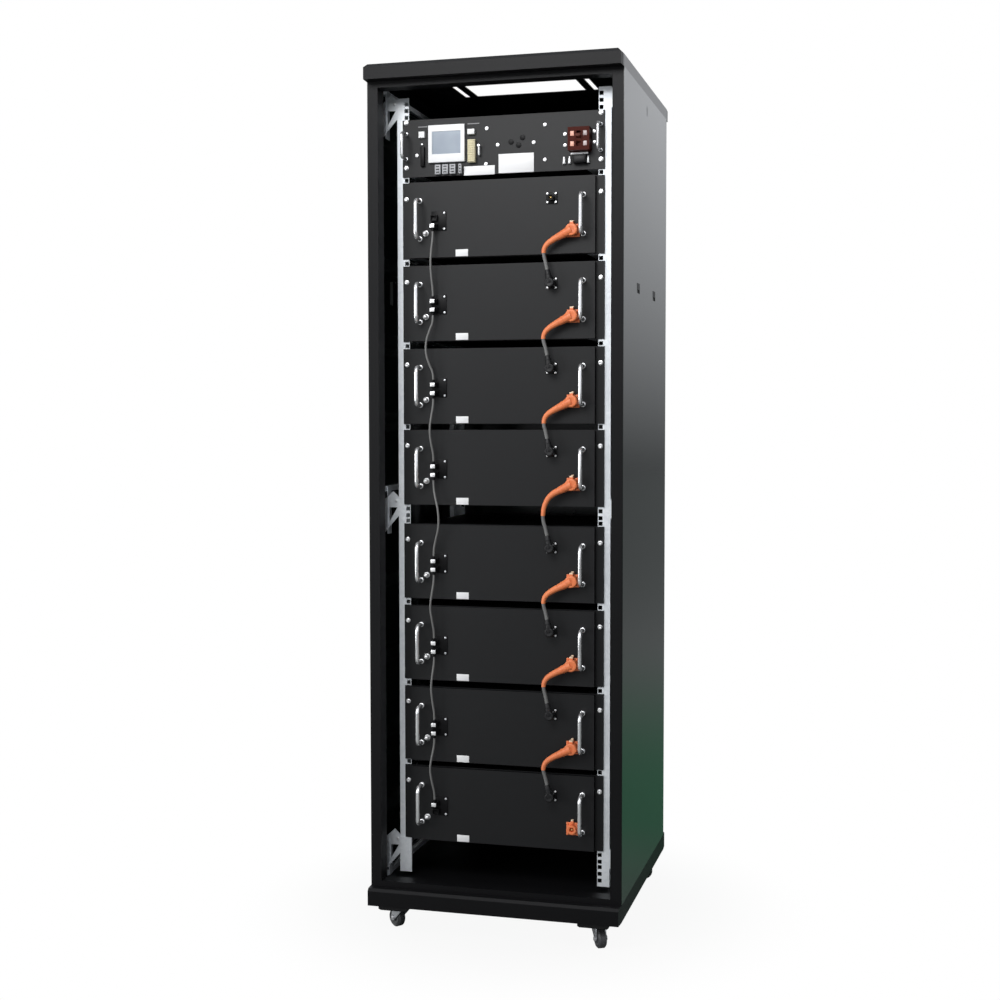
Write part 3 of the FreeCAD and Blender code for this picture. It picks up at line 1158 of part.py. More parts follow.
fork = join(
    "fork", *legs,
    block("fork_crown_plate", ("-dim.fork_length / 2", "-%s - dim.fork_leg" % LEG_IN, CROWN_LOW),
          ("dim.fork_length", "2 * %s + 2 * dim.fork_leg" % LEG_IN, "dim.fork_crown")),
    rod("fork_race", ("0", "0", CROWN_LOW + " + dim.fork_crown"), "dim.race_radius", "dim.race_height"),
    rod("fork_stem", ("0", "0", BLOCK_LOW), "dim.stem_radius", "dim.stem_length"),
    rod("fork_axle", ("dim.castor_trail", "-%s - dim.fork_leg - 1.5" % LEG_IN, "dim.wheel_radius"),
        "dim.axle_radius",
        "2 * %s + 2 * dim.fork_leg + 3" % LEG_IN, "y"),
)
wheel = turned(
    "wheel",
    [
        ("dim.axle_radius + dim.running_gap", "-dim.hub_width / 2"),
        ("dim.hub_radius", "-dim.hub_width / 2"),
        ("dim.hub_radius", "-dim.wheel_width / 2 + 2"),
        ("dim.wheel_radius - 2 * dim.wheel_bevel", "-dim.wheel_width / 2 + 2"),
        ("dim.wheel_radius - dim.wheel_bevel", "-dim.wheel_width / 2"),
        ("dim.wheel_radius", "-dim.wheel_width / 2 + dim.wheel_bevel"),
        ("dim.wheel_radius", "dim.wheel_width / 2 - dim.wheel_bevel"),
        ("dim.wheel_radius - dim.wheel_bevel", "dim.wheel_width / 2"),
        ("dim.wheel_radius - 2 * dim.wheel_bevel", "dim.wheel_width / 2 - 2"),
        ("dim.hub_radius", "dim.wheel_width / 2 - 2"),
        ("dim.hub_radius", "dim.hub_width / 2"), ("dim.axle_radius + dim.running_gap", "dim.hub_width / 2"),
    ],
)
place(wheel, ("dim.castor_trail", "0", "dim.wheel_radius"), FreeCAD.Rotation(V(1, 0, 0), 90))
doc.recompute()
blocks = []
for name, (side, end, heading) in CASTORS.items():
    x = side * value("dim.castor_place_x")
    y = end * value("dim.castor_place_y")
    single = castor_block.Shape.copy()
    if end > 0:
        single.rotate(V(0, 0, 0), V(0, 0, 1), 180)
    single.translate(V(x, y, 0))
    blocks.append(single)
    for kind, item in (("fork", fork), ("wheel", wheel)):
        shape = item.Shape.copy()
        shape.rotate(V(0, 0, 0), V(0, 0, 1), heading)
        shape.translate(V(x, y, 0))
        single = doc.addObject("Part::Feature", "castor_%s_%s_set" % (kind, name))
        single.Shape = shape
        piece("castor_%s_%s" % (kind, name), single)
group("castor_blocks", blocks)


def tube(label, points, radius):
    """Lead along straight runs joined by tangent arcs, each as large as its two runs allow."""
    points = [V(*point) for point in points]
    edges = []
    start = points[0]
    length = 0
    bends = []
    for before, corner, after in zip(points, points[1:], points[2:]):
        first, second = corner - before, after - corner
        half = first.getAngle(second) / 2
        bend = 0.45 * min(first.Length, second.Length) / math.tan(half)
        reach = bend * math.tan(half)
        bends.append(round(bend, 1))
        arc_start = corner - first.normalize() * reach
        arc_end = corner + second.normalize() * reach
        middle = corner + (second - first).normalize() * (bend / math.cos(half) - bend)
        edges.append(Part.LineSegment(start, arc_start).toShape())
        edges.append(Part.Arc(arc_start, middle, arc_end).toShape())
        length += edges[-2].Length + edges[-1].Length
        start = arc_end
    edges.append(Part.LineSegment(start, points[-1]).toShape())
    length += edges[-1].Length
    section = Part.Wire(Part.Circle(points[0], points[1] - points[0], radius).toShape())
    solid = Part.Wire(edges).makePipeShell([section], True, False)
    print(label, "length", round(length, 1), "radii", bends, "volume ratio",
          round(solid.Volume / (math.pi * radius ** 2 * length), 4))
    item = doc.addObject("Part::Feature", label + "_set")
    item.Shape = solid
    piece(label, item)


def shifted(point, way, length):
    return tuple(number + part * length for number, part in zip(point, way))


# Power links: from a module's positive plug to the next module's negative plug, straight out of each boot.
# Each row gives the points between: how far left of the positive socket, how far in front of the face, and the
# drop below the socket.
LINKS = [
    [(61.1, 22.5, 34.6), (65.6, 23.5, 51.5)],
    [(61.7, 23, 35.4), (66.6, 24, 52.0)],
    [(60.7, 22.5, 34.0), (65.3, 23.5, 51.0)],
    [(58.3, 23, 37.8), (64.7, 25, 57.5), (66.1, 24, 82.0)],
    [(61.5, 23, 35.0), (66.1, 24, 51.4)],
    [(60.8, 22.5, 34.2), (65.5, 23.5, 51.2)],
    [(61.3, 23, 34.8), (65.9, 24, 51.8)],
]
face = value(FACE_Y)
for number, between in enumerate(LINKS):
    socket_z = TOPS[number] - value("dim.positive_drop")
    first = shifted(
        (value("dim.positive_place"), value(boot_depth("dim.positive_plug_length")), socket_z), positive_way,
        value("dim.boot_reach"),
    )
    last = shifted(
        (
            value("dim.negative_place"), value(boot_depth("dim.negative_plug_length")),
            TOPS[number + 1] - value("dim.negative_drop"),
        ),
        negative_way, value("dim.small_boot_reach"),
    )
    middle = [shifted(first, positive_way, value("dim.power_lead_run"))]
    from_x = value("dim.positive_place")
    middle += [(from_x - left, face - ahead, socket_z - drop) for left, ahead, drop in between]
    middle += [shifted(last, negative_way, value("dim.power_lead_run"))]
    tube("power_link_%d" % (number + 1), [first] + middle + [last], value("dim.power_lead_radius"))

# Signal leads: from a module's lower port plug straight down, with a slight bow, to the next one's upper plug.
# Each row gives the points between: how far right of the port, how far in front of the face, and the drop
# below the boot.
SIGNALS = [
    [(-2.5, 21, 41), (-4, 24, 74), (-2.5, 21, 108)],
    [(-7, 20, 33), (-15, 25, 60), (-15.5, 25, 90), (-7.5, 20, 117)],
    [(-4, 21, 42), (-7.5, 25, 75), (-4, 21, 108)],
    [(4.5, 20, 39), (14, 26, 71), (15.5, 26, 108), (6, 20, 139)],
    [(-3.5, 21, 42), (-8, 24, 76), (-3.5, 21, 109)],
    [(-3, 21, 41), (-6, 25, 74), (-3, 21, 109)],
    [(-4.5, 21, 41), (-10, 24, 74), (-4.5, 21, 108)],
]
port_y = value(PORT_FRONT + " - dim.signal_plug_depth / 2")
boot_low = value("-dim.port_drop - dim.port_spacing - dim.port_height / 2 + 1 - dim.signal_boot_length")
boot_high = value("-dim.port_drop + dim.port_height / 2 - 1 + dim.signal_boot_length")
for number, between in enumerate(SIGNALS):
    first = (-value("dim.port_place"), port_y, TOPS[number] + boot_low)
    last = (-value("dim.port_place"), port_y, TOPS[number + 1] + boot_high)
    middle = [shifted(first, (0, 0, -1), value("dim.signal_lead_run"))]
    middle += [(first[0] + right, face - ahead, first[2] - drop) for right, ahead, drop in between]
    middle += [shifted(last, (0, 0, 1), value("dim.signal_lead_run"))]
    tube("signal_lead_%d" % (number + 1), [first] + middle + [last], value("dim.signal_lead_radius"))

doc.recompute()
for item in doc.Objects:
    if {"Invalid", "Error"} & set(item.State):
        raise RuntimeError("%s is %s: %s" % (item.Label, item.State, item.getStatusString()))
for label, item in pieces.items():
    if item.Shape.isNull() or not item.Shape.isValid() or not item.Shape.Solids:
        raise RuntimeError("%s has no valid solid" % label)
os.makedirs("parts", exist_ok=True)
for label, item in pieces.items():
    item.Shape.exportStep("parts/%s.step" % label)
print(len(pieces), "nodes written")
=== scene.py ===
import json
import math
import bpy
from mathutils import Euler, Matrix, Vector


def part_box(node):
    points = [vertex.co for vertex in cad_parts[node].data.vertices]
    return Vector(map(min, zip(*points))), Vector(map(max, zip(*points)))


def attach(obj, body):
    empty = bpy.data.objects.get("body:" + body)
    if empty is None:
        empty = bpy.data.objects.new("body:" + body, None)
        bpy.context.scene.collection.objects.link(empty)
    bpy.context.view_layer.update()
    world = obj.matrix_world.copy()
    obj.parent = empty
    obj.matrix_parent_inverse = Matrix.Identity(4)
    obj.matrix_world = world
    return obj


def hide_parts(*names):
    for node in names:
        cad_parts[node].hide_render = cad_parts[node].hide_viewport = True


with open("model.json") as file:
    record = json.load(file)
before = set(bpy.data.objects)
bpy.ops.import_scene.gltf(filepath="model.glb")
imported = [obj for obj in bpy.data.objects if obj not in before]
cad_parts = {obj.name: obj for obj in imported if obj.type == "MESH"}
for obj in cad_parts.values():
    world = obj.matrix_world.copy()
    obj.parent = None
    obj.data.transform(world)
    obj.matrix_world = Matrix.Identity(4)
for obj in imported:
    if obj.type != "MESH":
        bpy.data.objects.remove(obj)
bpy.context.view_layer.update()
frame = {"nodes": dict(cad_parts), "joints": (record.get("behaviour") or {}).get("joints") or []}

# The camera: a long lens to the right of the cabinet's middle, a little above half its height, that looks
# slightly down. Its place and turn are fitted to the rack's standard distances and the cabinet's edges.
view = bpy.context.scene
lens = 54.12
film_width = 36
look_down = 2.938
look_left = 15.041
lean = -0.059
camera_place = Matrix.Translation((0.904, -3.6081, 1.2003))
camera_turn = Euler((math.radians(90 - look_down), 0, math.radians(look_left))).to_matrix().to_4x4()
camera_lean = Matrix.Rotation(math.radians(lean), 4, "Z")
camera = bpy.data.objects.new("camera", bpy.data.cameras.new("camera"))
view.collection.objects.link(camera)
camera.matrix_world = camera_place @ camera_turn @ camera_lean
camera.data.lens = lens
camera.data.sensor_width = film_width
view.camera = camera
view.view_settings.view_transform = "Standard"


# The sky: even white where the camera sees it. It gives little diffuse light, and its mirror image darkens
# low behind the cabinet, which keeps the glossy side panel dark.
class Reading:
    """A shader socket that takes part in sums as a number does."""

    def __init__(self, finish, socket):
        self.finish = finish
        self.socket = socket

    def maths(self, operation, first, second):
        return self.finish.add("Math", {"operation": operation}, {0: first, 1: second})

    def __add__(self, other):
        return self.maths("ADD", self, other)

    def __sub__(self, other):
        return self.maths("SUBTRACT", self, other)

    def __rsub__(self, other):
        return self.maths("SUBTRACT", other, self)

    def __mul__(self, other):
        return self.maths("MULTIPLY", self, other)

    __radd__ = __add__
    __rmul__ = __mul__


class Finish:
    """The node tree of one material or world."""

    def __init__(self, owner):
        owner.use_nodes = True
        self.owner = owner
        self.tree = owner.node_tree
        self.surface = self.tree.nodes.get("Principled BSDF")

    def add(self, kind, settings=(), inputs=(), output=0):
        """A node of a kind, its settings, what its sockets get, and the output that is wanted."""
        node = self.tree.nodes.new("ShaderNode" + kind)
        for setting, choice in dict(settings).items():
            setattr(node, setting, choice)
        for socket, given in dict(inputs).items():
            self.feed(node.inputs[socket], given)
        return Reading(self, node.outputs[output]) if node.outputs else None

    def feed(self, socket, given):
        """Link a reading to a socket, or give the socket a value."""
        if isinstance(given, Reading):
            self.tree.links.new(given.socket, socket)
        else:
            socket.default_value = given

    def show(self, sockets):
        """Readings and values for the sockets of the surface shader."""
        for socket, given in sockets.items():
            self.feed(self.surface.inputs[socket], given)

    def blend(self, share, first, second):
        """Colour between two, by a share from 0 to 1."""
        return self.add("Mix", {"data_type": "RGBA"}, {0: share, 6: first, 7: second}, 2)

    def ramp(self, reading, low, high, start=0.0, end=1.0, shape="LINEAR"):
        """What goes from start to end while a reading goes from low to high, and stays there."""
        limits = {0: reading, 1: low, 2: high, 3: start, 4: end}
        return self.add("MapRange", {"interpolation_type": shape}, limits)


ambient = 0.2
mirror_tint = (0.94, 0.96, 1, 1)
sky = Finish(bpy.data.worlds.new("sky"))
view.world = sky.owner
sky.tree.nodes.clear()
seen = sky.add("LightPath", output="Is Camera Ray") + sky.add("LightPath", output="Is Transmission Ray")
mirrored = sky.add("LightPath", output="Is Glossy Ray")
way = sky.add("TexCoord", output="Generated")
low_down = sky.ramp(sky.add("SeparateXYZ", (), {0: way}, "Z"), -0.03, 0.2, 0.88, 0.0)
behind = sky.ramp(sky.add("SeparateXYZ", (), {0: way}, "Y"), 0.0, 0.35)
mirrored_sky = 1 - low_down * behind
strength = seen * (1 - ambient) + mirrored * (mirrored_sky - ambient) + ambient
tint = sky.blend(seen, mirror_tint, (1, 1, 1, 1))
sky.add("OutputWorld", (), {"Surface": sky.add("Background", (), {"Color": tint, "Strength": strength})})

# The floor: plain white to the camera, with a soft shadow close to the cabinet. What the dark paint mirrors
# of it is grey, deeper near the cabinet and greenish behind it.
floor_size = 60
near_grey = (0.3, 0.31, 0.305, 1)
near_green = (0.14, 0.38, 0.23, 1)
far_grey = (0.68, 0.7, 0.69, 1)
bpy.ops.object.select_all(action="DESELECT")
bpy.ops.mesh.primitive_plane_add(size=floor_size, location=(0, 0, 0))
floor = bpy.context.active_object
floor.name = "floor"
ground = Finish(bpy.data.materials.new("white_floor"))
ground.tree.nodes.clear()
spot = ground.add("TexCoord", output="Object")
away = ground.add("VectorMath", {"operation": "LENGTH"}, {0: spot}, "Value")
rearward = ground.ramp(ground.add("SeparateXYZ", (), {0: spot}, "Y"), -0.3, 0.8)
near_shade = ground.blend(rearward, near_grey, near_green)
matt_shade = ground.blend(ground.ramp(away, 1.2, 5.0, shape="SMOOTHSTEP"), near_shade, far_grey)
matt = ground.add("BsdfDiffuse", (), {"Color": matt_shade})
glow = ground.add("Emission", (), {"Color": (1, 1, 1, 1), "Strength": 1.0})
clear_of_shadow = ground.ramp(away, 0.3, 0.75, 0.93, 1.0, "SMOOTHSTEP")
glow_share = ground.add("LightPath", output="Is Camera Ray") * clear_of_shadow
floor_surface = ground.add("MixShader", (), {0: glow_share, 1: matt, 2: glow})
ground.add("OutputMaterial", (), {"Surface": floor_surface})
floor.data.materials.append(ground.owner)

# The lamps: a broad soft one high in front of the cabinet, a tall soft box on its right, whose reflection
# runs down the side panel, and a low soft one on its left, for the lower modules.
lamps = (
    ("front_lamp", (-0.4, -2.7, 3.0), (0, 0, 1.45), (1.8, 1.2), 66),
    ("right_box", (3.2, 0.6, 2.6), (0.3, 0, 1.6), (1.6, 2.2), 46),
    ("left_lamp", (-2.8, -2.4, 1.1), (0, 0, 0.55), (1.6, 1.6), 46),
)
for name, place, target, (wide, tall), watts in lamps:
    light = bpy.data.lights.new(name, "AREA")
    light.shape = "RECTANGLE"
    light.size = wide
    light.size_y = tall
    light.energy = watts
    lamp = bpy.data.objects.new(name, light)
    view.collection.objects.link(lamp)
    lamp.location = place
    lamp.rotation_euler = (Vector(target) - Vector(place)).to_track_quat("-Z", "Y").to_euler()


# Cabinet sheet metal: plinth, lid, welded frames, side panels and rear door, folded from steel sheet and
# powder coated black, with the fine orange-peel skin that baked powder leaves. The side panels and rear door
# have a green tint in their black, a painted reflection of a green floor. The lid's two end faces have a
# smoother, glossier skin than its front.
def paint(name, dark, light, roughness, grain=0.00003, shine=0.5):
    """Powder coat or moulded plastic: two near colours in soft clouds, with a fine grain."""
    finish = Finish(bpy.data.materials.new(name))
    place = finish.add("TexCoord", output="Object")
    cloud = finish.add("TexNoise", (), {"Vector": place, "Scale": 4.0, "Detail": 4.0})
    peel = finish.add("TexNoise", (), {"Vector": place, "Scale": 700.0, "Detail": 2.0})
    finish.show({
        "Base Color": finish.blend(cloud, dark + (1,), light + (1,)),
        "Roughness": peel * 0.1 + roughness,
        "Normal": finish.add("Bump", (), {"Height": peel, "Strength": 0.35, "Distance": grain}),
        "Specular IOR Level": shine,
    })
    return finish.owner


def dress(finish, *nodes):
    """Give CAD pieces their finish."""
    for node in nodes:
        piece = frame["nodes"][node]
        piece.data.materials.clear()
        piece.data.materials.append(finish)


cabinet_black = ((0.003, 0.003, 0.0035), (0.005, 0.005, 0.0057))
cabinet_paint = paint("cabinet_powder_coat", *cabinet_black, 0.4, shine=0.15)
# Side panels and rear door: black paint with a green tint, which is a painted reflection of a green floor.
panel_paint_green_reflection = paint("panel_coat_painted_green_reflection", (0.009, 0.015, 0.012), (0.013, 0.02, 0.0165), 0.12, grain=0.000012)
end_margin = 0.0005
end_gloss = 0.5
lid = Finish(paint("lid_powder_coat", *cabinet_black, 0.4, shine=0.15))
lid_across = lid.add("SeparateXYZ", (), {0: lid.add("TexCoord", output="Object")}, "X")
lid_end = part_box("top_cover")[1][0] - end_margin
on_end = lid.add("Math", {"operation": "GREATER_THAN"}, {0: lid_across * lid_across, 1: lid_end**2})
lid.show({"Coat Weight": on_end * end_gloss, "Coat Roughness": 0.2})
dress(cabinet_paint, "base_plinth", "front_frame", "rear_frame")
dress(lid.owner, "top_cover")
dress(panel_paint_green_reflection, "side_panel_left", "side_panel_right", "rear_door")


# Rails, gussets, depth beams and runners: hot-dip galvanised steel, pale grey with large soft spangles and
# faint rolling streaks. The gussets hold the rails to the depth beams with hexagon bolts.
def galvanised(name, dark, light, roughness, metal=0.55):
    """Plated or bare metal: two near colours in spangles and streaks, with a faint relief."""
    finish = Finish(bpy.data.materials.new(name))
    place = finish.add("TexCoord", output="Object")
    spangle = finish.add("TexVoronoi", (), {"Vector": place, "Scale": 160.0}, "Color")
    grey = finish.add("RGBToBW", (), {"Color": spangle})
    rolled = finish.add("Mapping", (), {"Vector": place, "Scale": (400, 400, 6)})
    streak = finish.add("TexNoise", (), {"Vector": rolled, "Scale": 1.0, "Detail": 2.0})
    finish.show({
        "Base Color": finish.blend(grey * 0.7 + streak * 0.3, dark + (1,), light + (1,)),
        "Roughness": grey * 0.14 + roughness,
        "Normal": finish.add("Bump", (), {"Height": streak, "Strength": 0.2, "Distance": 0.00002}),
        "Metallic": metal,
    })
    return finish.owner


def start(name, finish):
    """Name the primitive that was just added, give it its finish and fix its place in its mesh."""
    piece = bpy.context.active_object
    piece.name = name
    piece.data.name = name
    bpy.ops.object.transform_apply(location=True, rotation=True, scale=True)
    piece.data.materials.append(finish)
    return piece


def disc(name, base, radius, length, finish, axis="y", sides=32, tip=None):
    """Cylinder or cone primitive from a base point, along an axis towards its positive end."""
    bpy.ops.object.select_all(action="DESELECT")
    turn = {"x": (0, math.pi / 2, 0), "y": (-math.pi / 2, 0, 0), "z": (0, 0, 0)}[axis]
    ahead = {"x": Vector((1, 0, 0)), "y": Vector((0, 1, 0)), "z": Vector((0, 0, 1))}[axis]
    bpy.ops.mesh.primitive_cone_add(
        vertices=sides, radius1=radius, radius2=radius if tip is None else tip, depth=length,
        location=Vector(base) + ahead * length / 2, rotation=turn,
    )
    return start(name, finish)


def soften(piece, edge, steps=2, limit=35):
    """Round the sharp edges to a radius and shade the piece smooth between them."""
    bpy.ops.object.select_all(action="DESELECT")
    piece.select_set(True)
    bpy.context.view_layer.objects.active = piece
    if edge:
        bevel = piece.modifiers.new("edge", "BEVEL")
        bevel.width = edge
        bevel.segments = steps
        bevel.angle_limit = math.radians(limit)
        bpy.ops.object.modifier_apply(modifier=bevel.name)
    bpy.ops.object.shade_smooth_by_angle(angle=math.radians(limit))
    return piece


def together(name, pieces):
    """Join pieces into one under a name."""
    bpy.ops.object.select_all(action="DESELECT")
    for piece in pieces:
        piece.select_set(True)
    bpy.context.view_layer.objects.active = pieces[0]
    if len(pieces) > 1:
        bpy.ops.object.join()
    pieces[0].name = name
    pieces[0].data.name = name
    return pieces[0]


def repeated(name, piece, places):
    """Copies of a piece, each with its own mesh, at a list of shifts, joined under one name."""
    copies = []
    for place in places:
        copy = piece.copy()
        copy.data = piece.data.copy()
        view.collection.objects.link(copy)
        copy.data.transform(Matrix.Translation(Vector(place)))
        copies.append(copy)
    bpy.data.objects.remove(piece)
    return together(name, copies)


def mount(piece, slot, *nodes, body="cabinet"):
    """Ride on a body and stand for CAD nodes; the slot is not used."""
    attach(piece, body)
    if nodes:
        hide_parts(*nodes)
    return piece


zinc = galvanised("galvanised_steel", (0.74, 0.78, 0.82), (0.88, 0.91, 0.94), 0.36, metal=0.3)
bolt_steel = galvanised("zinc_plated_bolt", (0.7, 0.7, 0.72), (0.85, 0.86, 0.88), 0.28)
dress(zinc, "rack_rails", "rail_brackets", "module_runners", "depth_beams")
gusset_feet = (0.122, 0.936, 1.869)
gusset_bolts = ((0.2875, 0.01), (0.2875, 0.07), (0.2625, 0.079))
gusset_wall = 0.002
rail_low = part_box("rack_rails")[0]
bolt_seat = rail_low[1] + gusset_wall
bolt_head = 0.0026
bolt = disc("gusset_bolt", (0, -bolt_head, 0), radius=0.0034, length=bolt_head, finish=bolt_steel, sides=6)
soften(bolt, edge=0.0004)
bolt_places = [
    (side * across, bolt_seat, foot + up)
    for foot in gusset_feet for side in (-1, 1) for across, up in gusset_bolts
]
mount(repeated("gusset_bolts", bolt, bolt_places), "plated_screw")


# Castors: a black mounting pad under each corner, a pressed zinc fork on a swivel race, and a grey rubber
# tyre on a plastic hub that turns on its axle. A nut closes each end of the axle, and a sunk ring covers
# each side of the hub.
def pick(piece, test):
    """Enter edit mode with just those faces selected whose middle and normal pass a test."""
    bpy.ops.object.select_all(action="DESELECT")
    piece.select_set(True)
    bpy.context.view_layer.objects.active = piece
    for part in (piece.data.vertices, piece.data.edges):
        part.foreach_set("select", [False] * len(part))
    for face in piece.data.polygons:
        face.select = bool(test(face.center, face.normal))
    bpy.ops.object.mode_set(mode="EDIT")
    bpy.ops.mesh.select_mode(type="FACE")


def done():
    """Leave edit mode."""
    bpy.ops.object.mode_set(mode="OBJECT")


castor_pad = paint("castor_pad_plastic", (0.006, 0.006, 0.0065), (0.01, 0.01, 0.011), 0.5, shine=0.25)
tyre_rubber = paint("castor_tyre_rubber", (0.045, 0.046, 0.05), (0.075, 0.077, 0.082), 0.45)
hub_plastic = paint("castor_hub_plastic", (0.09, 0.092, 0.096), (0.13, 0.133, 0.138), 0.38)
fork_zinc = galvanised("castor_fork_zinc", (0.5, 0.52, 0.55), (0.74, 0.75, 0.77), 0.3)
nut_reach = 0.0144
nut_length = 0.0026
ring_reach = 0.0082
ring_length = 0.0016
dress(castor_pad, "castor_blocks")
for corner in ("front_left", "front_right", "rear_left", "rear_right"):
    fork = "castor_fork_" + corner
    wheel = "castor_wheel_" + corner
    dress(fork_zinc, fork)
    dress(tyre_rubber, wheel)
    roll = [joint for joint in frame["joints"] if joint["name"] == "castor_roll_" + corner][0]
    along_axle = Vector(roll["axis"]).normalized().to_track_quat("Y", "Z").to_matrix().to_4x4()
    to_axle = Matrix.Translation(Vector(roll["pos_m"])) @ along_axle
    nuts = []
    rings = []
    for side in (-1, 1):
        nut_base = (0, side * nut_reach - nut_length / 2, 0)
        nut = disc("axle_nut", nut_base, radius=0.0062, length=nut_length, finish=bolt_steel, sides=6)
        nuts.append(soften(nut, edge=0.0006))
        ring_base = (0, side * ring_reach - ring_length / 2, 0)
        ring = disc("hub_ring", ring_base, radius=0.0158, length=ring_length, finish=hub_plastic, sides=40)
        pick(ring, lambda middle, normal: abs(normal.y) > 0.9)
        bpy.ops.mesh.inset(thickness=0.0025)
        bpy.ops.transform.shrink_fatten(value=-0.0004)
        done()
        rings.append(soften(ring, edge=0.0005))
    for name, parts, body, slot in (
        ("axle_nuts_", nuts, fork, "plated_screw"), ("hub_rings_", rings, wheel, "castor_tread"),
    ):
        piece = together(name + corner, parts)
        piece.data.transform(to_axle)
        mount(piece, slot, body=body)

# Battery modules: a steel case with a flat cover and a folded front pan with ears, all in satin charcoal
# powder coat. The cells, busbars and board inside are closed in.
module_black = ((0.0035, 0.0037, 0.0043), (0.0055, 0.0058, 0.0066))
module_paint = paint("module_powder_coat", *module_black, 0.42, grain=0.00004, shine=0.29)
cell_metal = galvanised("cell_can_aluminium", (0.6, 0.61, 0.63), (0.75, 0.76, 0.78), 0.4)
copper = galvanised("busbar_copper", (0.55, 0.24, 0.12), (0.72, 0.36, 0.2), 0.32)
board_green = paint("board_lacquer", (0.01, 0.12, 0.05), (0.02, 0.17, 0.08), 0.4)
dress(module_paint, "module_cases", "module_covers", "module_fronts", "control_box_case")
dress(cell_metal, "battery_cells")
dress(copper, "busbars")
dress(board_green, "monitor_boards")

# The rails' hole grid: three square holes in each rack unit, counted from the lowest. Screws through the
# ears hold each module and the control box on them, so what sits on their faces follows the grid.
unit = 0.04445
holes_in_unit = 3
hole_pitch = 0.015875
hole_margin = 0.00635
rail_margin = 0.0074
first_hole = rail_low[2] + rail_margin + hole_margin
ear_hole_drop = 0.0381
module_holes = (107, 94, 81, 68, 53, 40, 27, 14)
control_holes = (119, 112)


def hole_height(number):
    """Height of a rail's hole."""
    units, step = divmod(number, holes_in_unit)
    return first_hole + unit * units + hole_pitch * step


module_tops = [hole_height(number) + ear_hole_drop for number in module_holes]
levels = [(0, 0, top) for top in module_tops]
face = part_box("module_fronts")[0][1]
face_proud = 0.012
ear = face + face_proud


# Blank plate on each module: a small white enamelled steel tag with rounded edges, glued low on the left of
# the face and left bare.
def slab(name, low, high, finish):
    """Cube primitive between two corners."""
    bpy.ops.object.select_all(action="DESELECT")
    middle = [(a + b) / 2 for a, b in zip(low, high)]
    bpy.ops.mesh.primitive_cube_add(size=1, location=middle, scale=[b - a for a, b in zip(low, high)])
    return start(name, finish)


tag_enamel = paint("tag_white_enamel", (0.8, 0.81, 0.82), (0.9, 0.9, 0.91), 0.3)
tag_low = (-0.1085, face - 0.0008, -0.1755)
tag_high = (-0.0785, face, -0.1595)
tag = soften(slab("module_tag", tag_low, tag_high, tag_enamel), edge=0.0006)
mount(repeated("module_tags", tag, levels), "white_plastic")

# Ear screws: turned, nickel-plated pan heads with a round sunk recess, each on its own washer. One holds
# each ear of a module, and two each ear of the control box.
nickel = galvanised("nickel_plate", (0.88, 0.89, 0.9), (0.97, 0.97, 0.98), 0.24)
screw_column = 0.2325
screw_head = 0.0036
washer_thick = 0.0008
head = disc("ear_screw", (0, -screw_head, 0), radius=0.0046, length=screw_head, finish=nickel)
pick(head, lambda middle, normal: normal.y < -0.9)
bpy.ops.mesh.inset(thickness=0.0012)
bpy.ops.transform.translate(value=(0, -0.0004, 0))
bpy.ops.mesh.inset(thickness=0.0016)
bpy.ops.mesh.extrude_region_move(TRANSFORM_OT_translate={"value": (0, 0.0012, 0)})
done()
soften(head, edge=0.0004)
washer = disc("ear_washer", (0, -washer_thick, 0), radius=0.0056, length=washer_thick, finish=nickel)
screw = together("ear_screw", [head, soften(washer, edge=0.0002)])
screw_places = [
    (side * screw_column, ear, hole_height(number))
    for number in module_holes + control_holes for side in (-1, 1)
]
mount(repeated("ear_screw_heads", screw, screw_places), "plated_screw", "ear_screws")

# Bow handles: bright chrome-plated steel bar bent twice at right angles, on turned feet screwed from behind.
# Two long ones carry each module and two short ones the control box.
chrome = Finish(bpy.data.materials.new("chrome_plate"))
chrome_place = chrome.add("TexCoord", output="Object")
haze = chrome.add("TexNoise", (), {"Vector": chrome_place, "Scale": 220.0, "Detail": 3.0})
chrome.show({
    "Base Color": chrome.blend(haze, (0.86, 0.87, 0.89, 1), (0.95, 0.95, 0.96, 1)),
    "Roughness": haze * 0.12 + 0.1,
    "Metallic": 0.75,
})


def bow(name, spacing, reach, radius, bend):
    """Bar from a foot out, round a bend, along the grip, round a bend and back, centred on the origin."""
    bpy.ops.object.select_all(action="DESELECT")
    upright = (math.pi / 2, 0, 0)
    bpy.ops.mesh.primitive_circle_add(vertices=24, radius=radius, fill_type="NGON", rotation=upright)
    bar = start(name, chrome.owner)
    bar.data.transform(Matrix.Translation((0, 0, spacing / 2)))
    corner = {"steps": 8, "angle": -math.pi / 2, "axis": (1, 0, 0), "use_auto_merge": False}
    straight = bend - reach
    grip = spacing / 2 - bend
    pick(bar, lambda middle, normal: True)
    bpy.ops.mesh.extrude_region_move(TRANSFORM_OT_translate={"value": (0, straight, 0)})
    bpy.ops.mesh.spin(center=(0, straight, grip), **corner)
    bpy.ops.mesh.extrude_region_move(TRANSFORM_OT_translate={"value": (0, 0, -2 * grip)})
    bpy.ops.mesh.spin(center=(0, straight, -grip), **corner)
    bpy.ops.mesh.extrude_region_move(TRANSFORM_OT_translate={"value": (0, -straight, 0)})
    bpy.ops.mesh.select_all(action="SELECT")
    bpy.ops.mesh.remove_doubles(threshold=0.00005)
    bpy.ops.mesh.normals_make_consistent(inside=False)
    done()
    soften(bar, edge=0)
    parts = [bar]
    foot_length = 0.004
    for end in (-1, 1):
        foot = disc(
            name + "_foot", (0, -foot_length, end * spacing / 2), radius * 1.25, foot_length, chrome.owner,
            tip=radius * 1.5,
        )
        parts.append(soften(foot, edge=0.0008))
    return together(name, parts)


